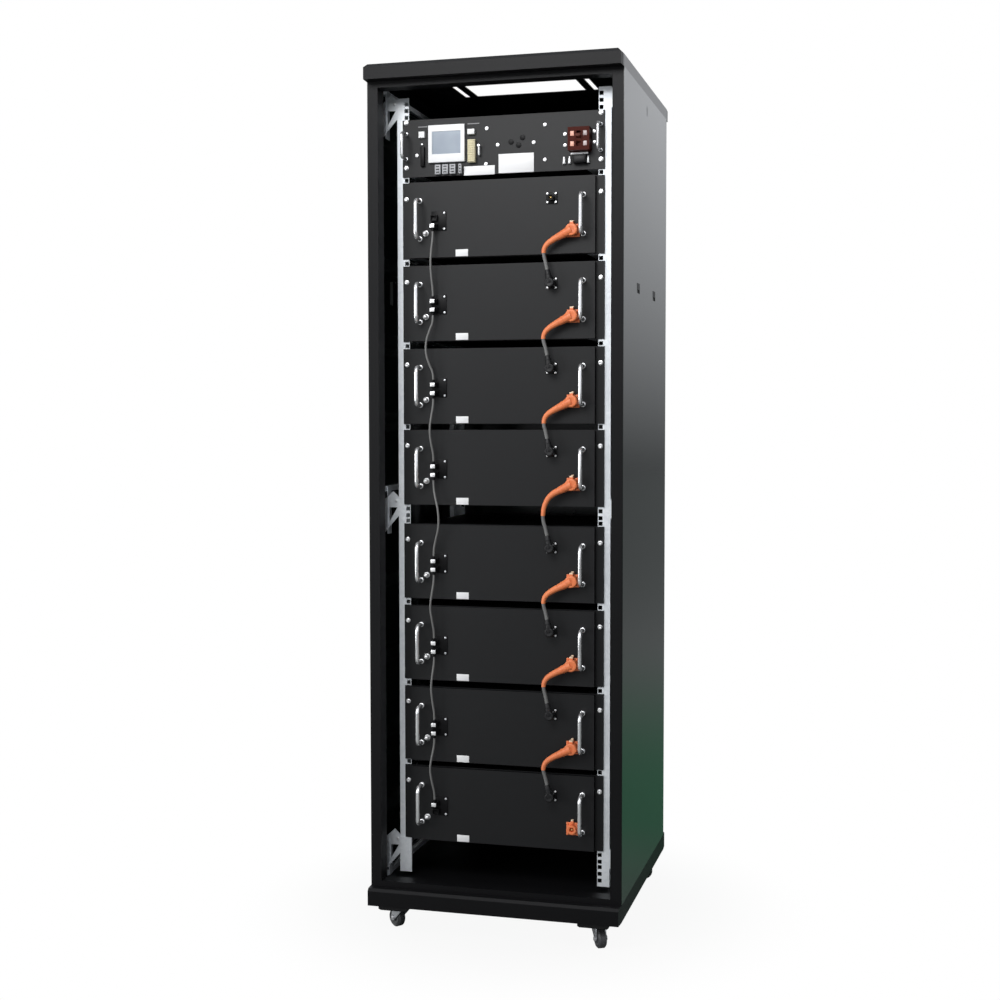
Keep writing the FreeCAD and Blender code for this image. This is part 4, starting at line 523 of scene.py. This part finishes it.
handle_column = 0.195
handle_drop = 0.0889
handle = bow("module_handle", spacing=0.088, reach=0.035, radius=0.00475, bend=0.013)
handle_places = [(side * handle_column, face, top - handle_drop) for top in module_tops for side in (-1, 1)]
mount(repeated("module_handles", handle, handle_places), "chrome", "handles")
control_units = 3
panel_middle = hole_height(control_holes[0]) + hole_margin - unit * control_units / 2
small_column = 0.232
small_rise = 0.0045
small = bow("control_handle", spacing=0.058, reach=0.035, radius=0.0035, bend=0.009)
small_places = [(side * small_column, ear, panel_middle + small_rise) for side in (-1, 1)]
mount(repeated("control_handles", small, small_places), "chrome", "handles")

# Power sockets: orange for positive, black for negative. Each is a moulded square flange with rounded
# corners, four screws and a hollow barrel whose brass pin sits back from the mouth. The positive one has a
# catch on top for the plug's latch.
orange = paint("orange_moulding", (0.72, 0.17, 0.06), (0.92, 0.27, 0.1), 0.4, grain=0.00004)
black_moulding = paint("black_moulding", (0.003, 0.003, 0.0034), (0.0055, 0.0055, 0.006), 0.38, shine=0.14)
brass = galvanised("contact_brass", (0.55, 0.36, 0.12), (0.75, 0.52, 0.2), 0.3)
catch_tip = paint("latch_cream", (0.85, 0.62, 0.42), (0.95, 0.74, 0.54), 0.4)
flange_thick = 0.003
barrel_length = 0.012
socket_front = face - flange_thick - barrel_length
positive_x = 0.1717
positive_drop = 0.1253
negative_x = 0.121
negative_drop = 0.05


def socket(name, x, drop, flange, barrel, bore, finish, screw_at, screws):
    """Flange, barrel, contact pin and corner screws of one socket, with the module's top at height nought."""
    half = flange / 2
    flange_low = (x - half, face - flange_thick, -drop - half)
    plate = soften(slab(name + "_flange", flange_low, (x + half, face, -drop + half), finish), edge=0.0012)
    tube = disc(name + "_barrel", (x, socket_front, -drop), barrel, barrel_length, finish)
    pick(tube, lambda middle, normal: normal.y < -0.9)
    bpy.ops.mesh.inset(thickness=barrel - bore)
    bpy.ops.mesh.extrude_region_move(TRANSFORM_OT_translate={"value": (0, 0.0105, 0)})
    done()
    soften(tube, edge=0.0005)
    pin_base = (x, socket_front + 0.003, -drop)
    pin = disc(name + "_pin", pin_base, radius=bore * 0.4, length=0.009, finish=brass, sides=20)
    parts = [plate, tube, soften(pin, edge=0.0006)]
    for across in (-1, 1):
        for up in (-1, 1):
            corner = (x + across * screw_at, face - 0.0048, -drop + up * screw_at)
            cap = disc(name + "_screw", corner, radius=0.0026, length=0.0022, finish=screws, sides=16)
            parts.append(soften(cap, edge=0.0006))
    return together(name, parts)


positive = socket(
    "positive_socket", positive_x, positive_drop, flange=0.03, barrel=0.0105, bore=0.0055, finish=orange,
    screw_at=0.0118, screws=orange,
)
catch = slab("positive_catch", (0.1682, face - 0.0085, -0.1143), (0.1752, face, -0.1063), orange)
tip = slab("positive_catch_tip", (0.169, face - 0.008, -0.1063), (0.1744, face, -0.1033), catch_tip)
positive = together("positive_socket", [positive, soften(catch, edge=0.0008), soften(tip, edge=0.0007)])
negative = socket(
    "negative_socket", negative_x, negative_drop, flange=0.026, barrel=0.0075, bore=0.0045,
    finish=black_moulding, screw_at=0.0098, screws=nickel,
)
mount(repeated("positive_sockets_moulded", positive, levels), "orange_plastic", "positive_sockets")
mount(repeated("negative_sockets_moulded", negative, levels), "black_plastic", "negative_sockets")

# Power link plugs: right-angle mouldings pushed over the socket barrels, orange with a thumb latch at the
# positive end, small and black at the negative end, each with a ribbed boot where its lead leaves.
plug_grey = paint("plug_dark_moulding", (0.006, 0.006, 0.007), (0.01, 0.01, 0.011), 0.42, shine=0.28)


def right_angle_plug(name, x, drop, radius, length, finish, angle, reach, root, tip):
    """Plug body with a domed end, and a boot of two radii that leaves at an angle, with two rings."""
    body = disc(name + "_body", (x, face - flange_thick - length, -drop), radius, length, finish, sides=40)
    pick(body, lambda middle, normal: normal.y < -0.9)
    bpy.ops.mesh.inset(thickness=radius * 0.3)
    bpy.ops.transform.translate(value=(0, -0.0012, 0))
    bpy.ops.mesh.inset(thickness=radius * 0.25)
    bpy.ops.transform.translate(value=(0, 0.0008, 0))
    done()
    soften(body, edge=0.0016, steps=3)
    depth = socket_front - (length - barrel_length) / 2
    lay = Matrix.Translation((x, depth, -drop)) @ Matrix.Rotation(-math.radians(angle), 4, "Y")
    sleeve = disc(name + "_boot", (0, 0, 0), root, reach, finish, axis="x", sides=36, tip=tip)
    pick(sleeve, lambda middle, normal: normal.x > 0.9)
    bpy.ops.mesh.inset(thickness=tip * 0.12)
    bpy.ops.transform.translate(value=(-0.0006, 0, 0))
    done()
    parts = [soften(sleeve, edge=0.0008)]
    for share in (0.3, 0.62):
        girth = root + (tip - root) * share + 0.0007
        ring = disc(name + "_ring", (reach * share, 0, 0), girth, 0.0022, finish, axis="x", sides=36)
        parts.append(soften(ring, edge=0.0006))
    for part in parts:
        part.data.transform(lay)
    return [body] + parts


parts = right_angle_plug(
    "positive_plug", positive_x, positive_drop, radius=0.014, length=0.024, finish=orange,
    angle=206, reach=0.034, root=0.011, tip=0.008,
)
latch_low = 0.012 - positive_drop
for low, high, finish in (
    (latch_low, latch_low + 0.005, orange), (latch_low + 0.005, latch_low + 0.008, catch_tip),
):
    latch = slab("positive_latch", (0.1677, face - 0.023, low), (0.1757, face - 0.009, high), finish)
    pick(latch, lambda middle, normal: normal.z > 0.9)
    bpy.ops.mesh.inset(thickness=0.0006)
    bpy.ops.transform.translate(value=(0, 0.0004, 0))
    done()
    parts.append(soften(latch, edge=0.0007))
plug = together("positive_plug", parts)
mount(repeated("positive_plugs_moulded", plug, levels[:-1]), "orange_plastic", "positive_plugs")
parts = right_angle_plug(
    "negative_plug", negative_x, negative_drop, radius=0.011, length=0.026, finish=plug_grey,
    angle=101.5, reach=0.03, root=0.009, tip=0.0055,
)
plug = together("negative_plug", parts)
mount(repeated("negative_plugs_moulded", plug, levels[1:]), "black_plastic", "negative_plugs")

# Power links: flexible single-core lead of black rubber, coloured grey all along as a painted highlight, with
# an orange heat-shrink sleeve that tapers from the positive plug's boot and covers the first part. Each hangs
# from its module to the next one below.
# The leads' grey is a painted highlight: it stands in for the sheen along black rubber.
lead_painted_highlight = paint("lead_grey_painted_highlight", (0.13, 0.13, 0.128), (0.19, 0.19, 0.187), 0.42, grain=0.00002)
sleeve_orange = paint("sleeve_orange", (0.74, 0.18, 0.065), (0.93, 0.29, 0.11), 0.44, grain=0.00004)


def route(name, points, radius, finish, taper=None, share=1.0):
    """Smooth curve on a lead's own points, given a round section that may taper and may end early."""
    curve = bpy.data.curves.new(name, "CURVE")
    curve.dimensions = "3D"
    curve.resolution_u = 12
    curve.bevel_depth = radius
    curve.bevel_resolution = 6
    curve.use_fill_caps = True
    spline = curve.splines.new("NURBS")
    spline.points.add(len(points) - 1)
    for number, (spot, point) in enumerate(zip(spline.points, points)):
        spot.co = (*point, 1)
        if taper:
            along = min(1, number / (len(points) - 1) / share)
            spot.radius = (taper[0] + (taper[1] - taper[0]) * along) / radius
    spline.order_u = 3
    spline.use_endpoint_u = True
    curve.bevel_factor_end = share
    curve.materials.append(finish)
    piece = bpy.data.objects.new(name, curve)
    view.collection.objects.link(piece)
    return piece


power_routes = [
    [(0.14114, -0.256, 1.62215), (0.12586, -0.256, 1.61469), (0.1106, -0.2575, 1.60245),
     (0.1061, -0.2585, 1.58555), (0.11163, -0.257, 1.56473), (0.11502, -0.257, 1.54807)],
    [(0.14114, -0.256, 1.42847), (0.12586, -0.256, 1.42102), (0.11, -0.258, 1.40797),
     (0.1051, -0.259, 1.39138), (0.11163, -0.257, 1.37106), (0.11502, -0.257, 1.3544)],
    [(0.14114, -0.256, 1.2348), (0.12586, -0.256, 1.22734), (0.111, -0.2575, 1.2157),
     (0.1064, -0.2585, 1.1987), (0.11163, -0.257, 1.18056), (0.11502, -0.257, 1.1639)],
    [(0.14114, -0.256, 1.0443), (0.12586, -0.256, 1.03684), (0.1134, -0.258, 1.0214),
     (0.107, -0.26, 1.0017), (0.1056, -0.259, 0.9772), (0.11163, -0.257, 0.95831),
     (0.11502, -0.257, 0.94165)],
    [(0.14114, -0.256, 0.82205), (0.12586, -0.256, 0.81459), (0.1102, -0.258, 0.80195),
     (0.1056, -0.259, 0.78555), (0.11163, -0.257, 0.76463), (0.11502, -0.257, 0.74797)],
    [(0.14114, -0.256, 0.62837), (0.12586, -0.256, 0.62092), (0.1109, -0.2575, 0.60908),
     (0.1062, -0.2585, 0.59208), (0.11163, -0.257, 0.57096), (0.11502, -0.257, 0.5543)],
    [(0.14114, -0.256, 0.4347), (0.12586, -0.256, 0.42724), (0.1104, -0.258, 0.4148),
     (0.1058, -0.259, 0.3978), (0.11163, -0.257, 0.38046), (0.11502, -0.257, 0.3638)],
]
power_lengths = (0.0917, 0.0923, 0.0885, 0.1184, 0.0921, 0.0917, 0.0889)
power_radius = 0.00425
sleeve_radius = 0.006
sleeve_taper = (0.0079, 0.0048)
sleeve_share = 0.62
for number, (points, length) in enumerate(zip(power_routes, power_lengths), start=1):
    lead = route("power_lead_%d" % number, points, power_radius, lead_painted_highlight)
    sleeve = route(
        "power_sleeve_%d" % number, points, sleeve_radius, sleeve_orange, sleeve_taper, sleeve_share,
    )
    mount(lead, "power_lead", "power_link_%d" % number)
    mount(sleeve, "orange_plastic")

# Signal ports: a small black plate with two moulded jacks and two corner screws. The plugs are black with a
# bright nickel shield on the front and a black boot where the thin lead leaves.
jack_drops = (0.086, 0.106)
jack_face = face - 0.01
jack_left = -0.167
port_thick = 0.002
port_screws = ((-0.1352, -0.0745), (-0.1352, -0.1112))
plate = slab("port_plate", (jack_left, face - port_thick, -0.115), (-0.131, face, -0.07), black_moulding)
parts = [soften(plate, edge=0.0006)]
for drop in jack_drops:
    jack_low = (jack_left, jack_face, -drop - 0.007)
    jack = slab("port_jack", jack_low, (-0.151, face - port_thick, -drop + 0.007), black_moulding)
    pick(jack, lambda middle, normal: normal.y < -0.9)
    bpy.ops.mesh.inset(thickness=0.002)
    bpy.ops.mesh.extrude_region_move(TRANSFORM_OT_translate={"value": (0, 0.0065, 0)})
    done()
    parts.append(soften(jack, edge=0.0005))
for x, z in port_screws:
    cap = disc("port_screw", (x, face - 0.0042, z), radius=0.0026, length=0.0024, finish=fork_zinc, sides=18)
    parts.append(soften(cap, edge=0.0007))
ports = together("signal_port", parts)
mount(repeated("signal_ports_moulded", ports, levels), "black_plastic", "signal_ports")
signal_x = -0.159
shell_front = jack_face - 0.013
for name, drop, boot_rise, places in (
    ("out", jack_drops[1], -0.012, levels[:-1]), ("in", jack_drops[0], 0.006, levels[1:]),
):
    shell_low = (signal_x - 0.007, shell_front, -drop - 0.006)
    shell = slab("plug_shell", shell_low, (signal_x + 0.007, jack_face, -drop + 0.006), black_moulding)
    shield_low = (-0.1646, shell_front - 0.001, -drop - 0.0042)
    shield = slab("plug_shield", shield_low, (-0.1536, shell_front, -drop + 0.0046), nickel)
    boot_base = (signal_x, jack_face - 0.007, -drop + boot_rise)
    boot = disc("plug_boot", boot_base, 0.0036, 0.006, black_moulding, axis="z", sides=24)
    nose_low = (signal_x - 0.0057, jack_face, -drop - 0.0047)
    nose = slab("plug_nose", nose_low, (signal_x + 0.0057, jack_face + 0.006, -drop + 0.0047), black_moulding)
    parts = [soften(shell, edge=0.0012), soften(shield, edge=0.0008), soften(boot, edge=0.0007), nose]
    plug = together("signal_plug_" + name, parts)
    mount(repeated("signal_plugs_" + name, plug, places), "plated_screw", "signal_plugs")

# Signal leads: thin round data leads of black rubber, coloured grey all along as a painted highlight. Each
# hangs with a slight bow from one module's lower jack to the next module's upper one.
signal_routes = [
    [(-0.159, -0.252, 1.64435), (-0.159, -0.252, 1.62835), (-0.1615, -0.256, 1.60335),
     (-0.163, -0.259, 1.57035), (-0.1615, -0.256, 1.53635), (-0.159, -0.252, 1.51067),
     (-0.159, -0.252, 1.49467)],
    [(-0.159, -0.252, 1.45067), (-0.159, -0.252, 1.43467), (-0.166, -0.255, 1.41768),
     (-0.174, -0.26, 1.39067), (-0.1745, -0.26, 1.36067), (-0.1665, -0.255, 1.33367),
     (-0.159, -0.252, 1.317), (-0.159, -0.252, 1.301)],
    [(-0.159, -0.252, 1.257), (-0.159, -0.252, 1.241), (-0.163, -0.256, 1.215),
     (-0.1665, -0.26, 1.182), (-0.163, -0.256, 1.149), (-0.159, -0.252, 1.1265),
     (-0.159, -0.252, 1.1105)],
    [(-0.159, -0.252, 1.0665), (-0.159, -0.252, 1.0505), (-0.1545, -0.255, 1.0275),
     (-0.145, -0.261, 0.9955), (-0.1435, -0.261, 0.9585), (-0.153, -0.255, 0.9275),
     (-0.159, -0.252, 0.90425), (-0.159, -0.252, 0.88825)],
    [(-0.159, -0.252, 0.84425), (-0.159, -0.252, 0.82825), (-0.1625, -0.256, 0.80225),
     (-0.167, -0.259, 0.76825), (-0.1625, -0.256, 0.73525), (-0.159, -0.252, 0.71058),
     (-0.159, -0.252, 0.69458)],
    [(-0.159, -0.252, 0.65058), (-0.159, -0.252, 0.63458), (-0.162, -0.256, 0.60958),
     (-0.165, -0.26, 0.57658), (-0.162, -0.256, 0.54158), (-0.159, -0.252, 0.5169),
     (-0.159, -0.252, 0.5009)],
    [(-0.159, -0.252, 0.4569), (-0.159, -0.252, 0.4409), (-0.1635, -0.256, 0.4159),
     (-0.169, -0.259, 0.3829), (-0.1635, -0.256, 0.3489), (-0.159, -0.252, 0.3264),
     (-0.159, -0.252, 0.3104)],
]
signal_lengths = (0.1507, 0.1554, 0.1483, 0.183, 0.1513, 0.1511, 0.1486)
signal_radius = 0.0025
for number, (points, length) in enumerate(zip(signal_routes, signal_lengths), start=1):
    lead = route("signal_lead_smooth_%d" % number, points, signal_radius, lead_painted_highlight)
    mount(lead, "signal_lead", "signal_lead_%d" % number)

# Earth stud: a nickel-plated washer and a hexagon dome nut, on a stud through the module's face beside the
# left handle. It is the place for an earth lead.
stud_x = -0.181
stud_z = -0.1206
stud_washer_thick = 0.0015
nut_front = face - 0.0075
washer_base = (stud_x, face - stud_washer_thick, stud_z)
washer = disc("earth_washer", washer_base, radius=0.0068, length=stud_washer_thick, finish=nickel)
nut = disc("earth_nut", (stud_x, nut_front, stud_z), radius=0.006, length=0.006, finish=nickel, sides=6)
parts = [soften(washer, edge=0.0003), soften(nut, edge=0.0006)]
bpy.ops.object.select_all(action="DESELECT")
bpy.ops.mesh.primitive_uv_sphere_add(
    segments=24, ring_count=12, radius=0.0055, location=(stud_x, nut_front, stud_z),
)
dome = start("earth_dome", nickel)
pick(dome, lambda middle, normal: middle.y > nut_front + 0.0001)
bpy.ops.mesh.delete(type="FACE")
done()
parts.append(soften(dome, edge=0))
mount(repeated("earth_dome_nuts", together("earth_stud", parts), levels), "chrome", "earth_studs")

# Panel meter: a white moulded bezel snapped into the control panel, with a sunk liquid-crystal window in
# dull blue grey and a black case behind the panel.
bezel_white = paint("meter_white_moulding", (0.84, 0.85, 0.86), (0.92, 0.93, 0.94), 0.32)
lcd = Finish(bpy.data.materials.new("meter_glass"))
lcd_place = lcd.add("TexCoord", output="Object")
lcd_cloud = lcd.add("TexNoise", (), {"Vector": lcd_place, "Scale": 30.0, "Detail": 1.0})
lcd.show({
    "Base Color": lcd.blend(lcd_cloud, (0.24, 0.29, 0.36, 1), (0.33, 0.38, 0.45, 1)),
    "Roughness": 0.2,
})
meter_low, meter_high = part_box("panel_meter")
meter_front = meter_low[1]
meter_x = (meter_low[0] + meter_high[0]) / 2
meter_z = (meter_low[2] + meter_high[2]) / 2


def meter_slab(name, half, low, high, front, back, finish):
    """Slab on the meter's middle line, by its half width and its heights and depths."""
    return slab(name, (meter_x - half, front, meter_z + low), (meter_x + half, back, meter_z + high), finish)


bezel = slab("meter_bezel", meter_low, (meter_high[0], ear, meter_high[2]), bezel_white)
soften(bezel, edge=0.0016, steps=3)
well = meter_slab(
    "meter_well", half=0.03475, low=-0.02405, high=0.02845,
    front=meter_front - 0.002, back=meter_front + 0.002, finish=bezel_white,
)
window = bezel.modifiers.new("window", "BOOLEAN")
window.object = well
bpy.context.view_layer.objects.active = bezel
bpy.ops.object.modifier_apply(modifier=window.name)
bpy.data.objects.remove(well)
glass = meter_slab(
    "meter_glass", half=0.0345, low=-0.0238, high=0.0282,
    front=meter_front + 0.0012, back=meter_front + 0.0024, finish=lcd.owner,
)
case = meter_slab(
    "meter_case", half=0.04, low=-0.038, high=0.038, front=ear, back=ear + 0.045, finish=black_moulding,
)
soften(case, edge=0.001)
mount(together("meter_moulding", [bezel, glass, case]), "white_plastic", "panel_meter")

# Main breaker: a smoked block with a rocking lever in its middle slot and four lit windows sunk in its
# front, copper on the left and silver on the right.
smoked = paint("breaker_smoked_moulding", (0.05, 0.009, 0.006), (0.075, 0.014, 0.009), 0.35, shine=0.05)
lever_moulding = paint("lever_dark_moulding", (0.08, 0.02, 0.013), (0.12, 0.034, 0.022), 0.32, shine=0.2)
copper_light = paint("window_copper", (0.75, 0.33, 0.24), (0.95, 0.55, 0.42), 0.35)
silver_light = paint("window_silver", (0.42, 0.33, 0.33), (0.62, 0.52, 0.52), 0.3)
window_across = 0.015
window_up = 0.01144
dress(smoked, "breaker_body")
dress(lever_moulding, "breaker_lever")
breaker_low, breaker_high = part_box("breaker_body")
for side, finish in ((-1, copper_light), (1, silver_light)):
    for up in (-1, 1):
        x = (breaker_low[0] + breaker_high[0]) / 2 + side * window_across
        z = (breaker_low[2] + breaker_high[2]) / 2 + up * window_up
        window_low = (x - 0.0045, breaker_low[1] + 0.0006, z - 0.0055)
        window_high = (x + 0.0045, breaker_low[1] + 0.004, z + 0.0055)
        chip = soften(slab("breaker_window", window_low, window_high, finish), edge=0.0008)
        mount(chip, "smoked_plastic")

# Fittings of the control panel, screwed or snapped in from the front: lamp, terminal block, blank enamelled
# plates, a silver bar and a black outlet block under the breaker, a fuse strip, connectors with three gaps
# each, cone terminals, printed grey lines, round-head screws and plugged holes.
cream = paint("terminal_cream", (0.62, 0.56, 0.36), (0.75, 0.7, 0.5), 0.45)
grey_mark = paint("grey_marking", (0.2, 0.2, 0.21), (0.28, 0.28, 0.29), 0.5)
pale_grey = paint("pale_grey_moulding", (0.34, 0.35, 0.37), (0.46, 0.47, 0.49), 0.42)
terminal_ribs = 10
rib_pitch = 0.0052
gap_pitch = 0.0065
connectors = ((-0.153, 0.014), (-0.135, 0.014), (-0.117, 0.014), (-0.099, 0.007))
marks = ((-0.1917, 0.0493, 0.022), (-0.0688, 0.0508, 0.029))
cones = (0.1475, 0.1605, 0.2035)
screws = (
    (-0.036, 0.0377), (-0.01, -0.001), (0.0757, 0.0003), (-0.038, -0.0437), (0.102, 0.0393), (0.102, -0.04),
    (0.149, 0.0153), (0.149, -0.0097), (0.2167, 0.0183), (0.2167, -0.0057), (-0.206, -0.0167),
)
small_studs = ((-0.1934, 0.0087), (-0.1946, -0.0394))
plugged_holes = ((0.0215, 0.0042), (0.0393, -0.0035), (0.0488, 0.0131))
fittings = []


def panel_block(name, x, rise, wide, proud, tall, finish, edge=0.0008):
    """Block that stands proud of the panel, by its middle's distance across and above the panel's middle."""
    z = panel_middle + rise
    piece = slab(name, (x - wide / 2, ear - proud, z - tall / 2), (x + wide / 2, ear, z + tall / 2), finish)
    fittings.append(soften(piece, edge))


def panel_disc(name, x, rise, radius, proud, finish, edge, sides=20, gap=0):
    """Round head on the panel, or a gap in front of it."""
    base = (x, ear - gap - proud, panel_middle + rise)
    fittings.append(soften(disc(name, base, radius, proud, finish, sides=sides), edge))


panel_block("lamp", -0.0723, 0.0317, 0.017, 0.009, 0.012, bezel_white)
panel_block("terminal", -0.0706, -0.013, 0.018, 0.0118, 0.052, cream)
for number in range(terminal_ribs):
    rise = rib_pitch * number - 0.0364
    panel_block("terminal_rib", -0.0706, rise, 0.0164, 0.0138, 0.0026, cream, edge=0.0005)
panel_block("pin", -0.053, -0.012, 0.0036, 0.0105, 0.024, bezel_white)
panel_disc("pin_head", -0.053, -0.002, 0.0034, 0.0022, nickel, edge=0.0006, gap=0.0098)
panel_block("plate_wide", -0.054, -0.0574, 0.074, 0.0015, 0.021, tag_enamel, edge=0.0006)
panel_block("plate_tall", 0.034, -0.0443, 0.084, 0.0015, 0.044, tag_enamel, edge=0.0006)
panel_block("strip", 0.1835, -0.0295, 0.04, 0.006, 0.005, nickel)
panel_block("outlet", 0.185, -0.0435, 0.031, 0.016, 0.019, black_moulding, edge=0.0016)
panel_block("outlet_lip", 0.185, -0.0435, 0.024, 0.0164, 0.012, plug_grey, edge=0.0012)
panel_block("fuse", -0.191, -0.02, 0.009, 0.008, 0.046, black_moulding)
for x, wide in connectors:
    panel_block("connector", x, -0.052, wide, 0.009, 0.022, pale_grey)
    for row in range(3):
        rise = gap_pitch * row - 0.0585
        panel_block("connector_gap", x, rise, wide * 0.6, 0.0092, 0.0026, black_moulding, edge=0.0004)
for x, rise, wide in marks:
    panel_block("mark", x, rise, wide, 0.0003, 0.0022, grey_mark, edge=0)
for x in cones:
    cone_base = (x, ear - 0.004, panel_middle - 0.052)
    cone = disc("cone", cone_base, radius=0.004, length=0.016, finish=nickel, axis="z", sides=20, tip=0.0022)
    fittings.append(soften(cone, edge=0.0005))
for x, rise in screws:
    panel_disc("panel_screw", x, rise, 0.0042, 0.0024, nickel, edge=0.0008)
for x, rise in small_studs:
    panel_disc("small_stud", x, rise, 0.0023, 0.0018, nickel, edge=0.0005, sides=16)
for x, rise in plugged_holes:
    panel_disc("plug_cap", x, rise, 0.0064, 0.0016, black_moulding, edge=0.0006, sides=32)
mount(together("control_fittings_made", fittings), "white_plastic", "control_fittings")
dress(bezel_white, "control_button")

# Side panel latches: black moulded slides with a finger boss in the panel's window, two in each panel. Rear
# door lock: a plated quarter-turn lock whose cam swings behind the frame's post.
for side in ("left", "right"):
    dress(black_moulding, "side_latch_%s_front" % side, "side_latch_%s_back" % side)
dress(nickel, "rear_door_lock")
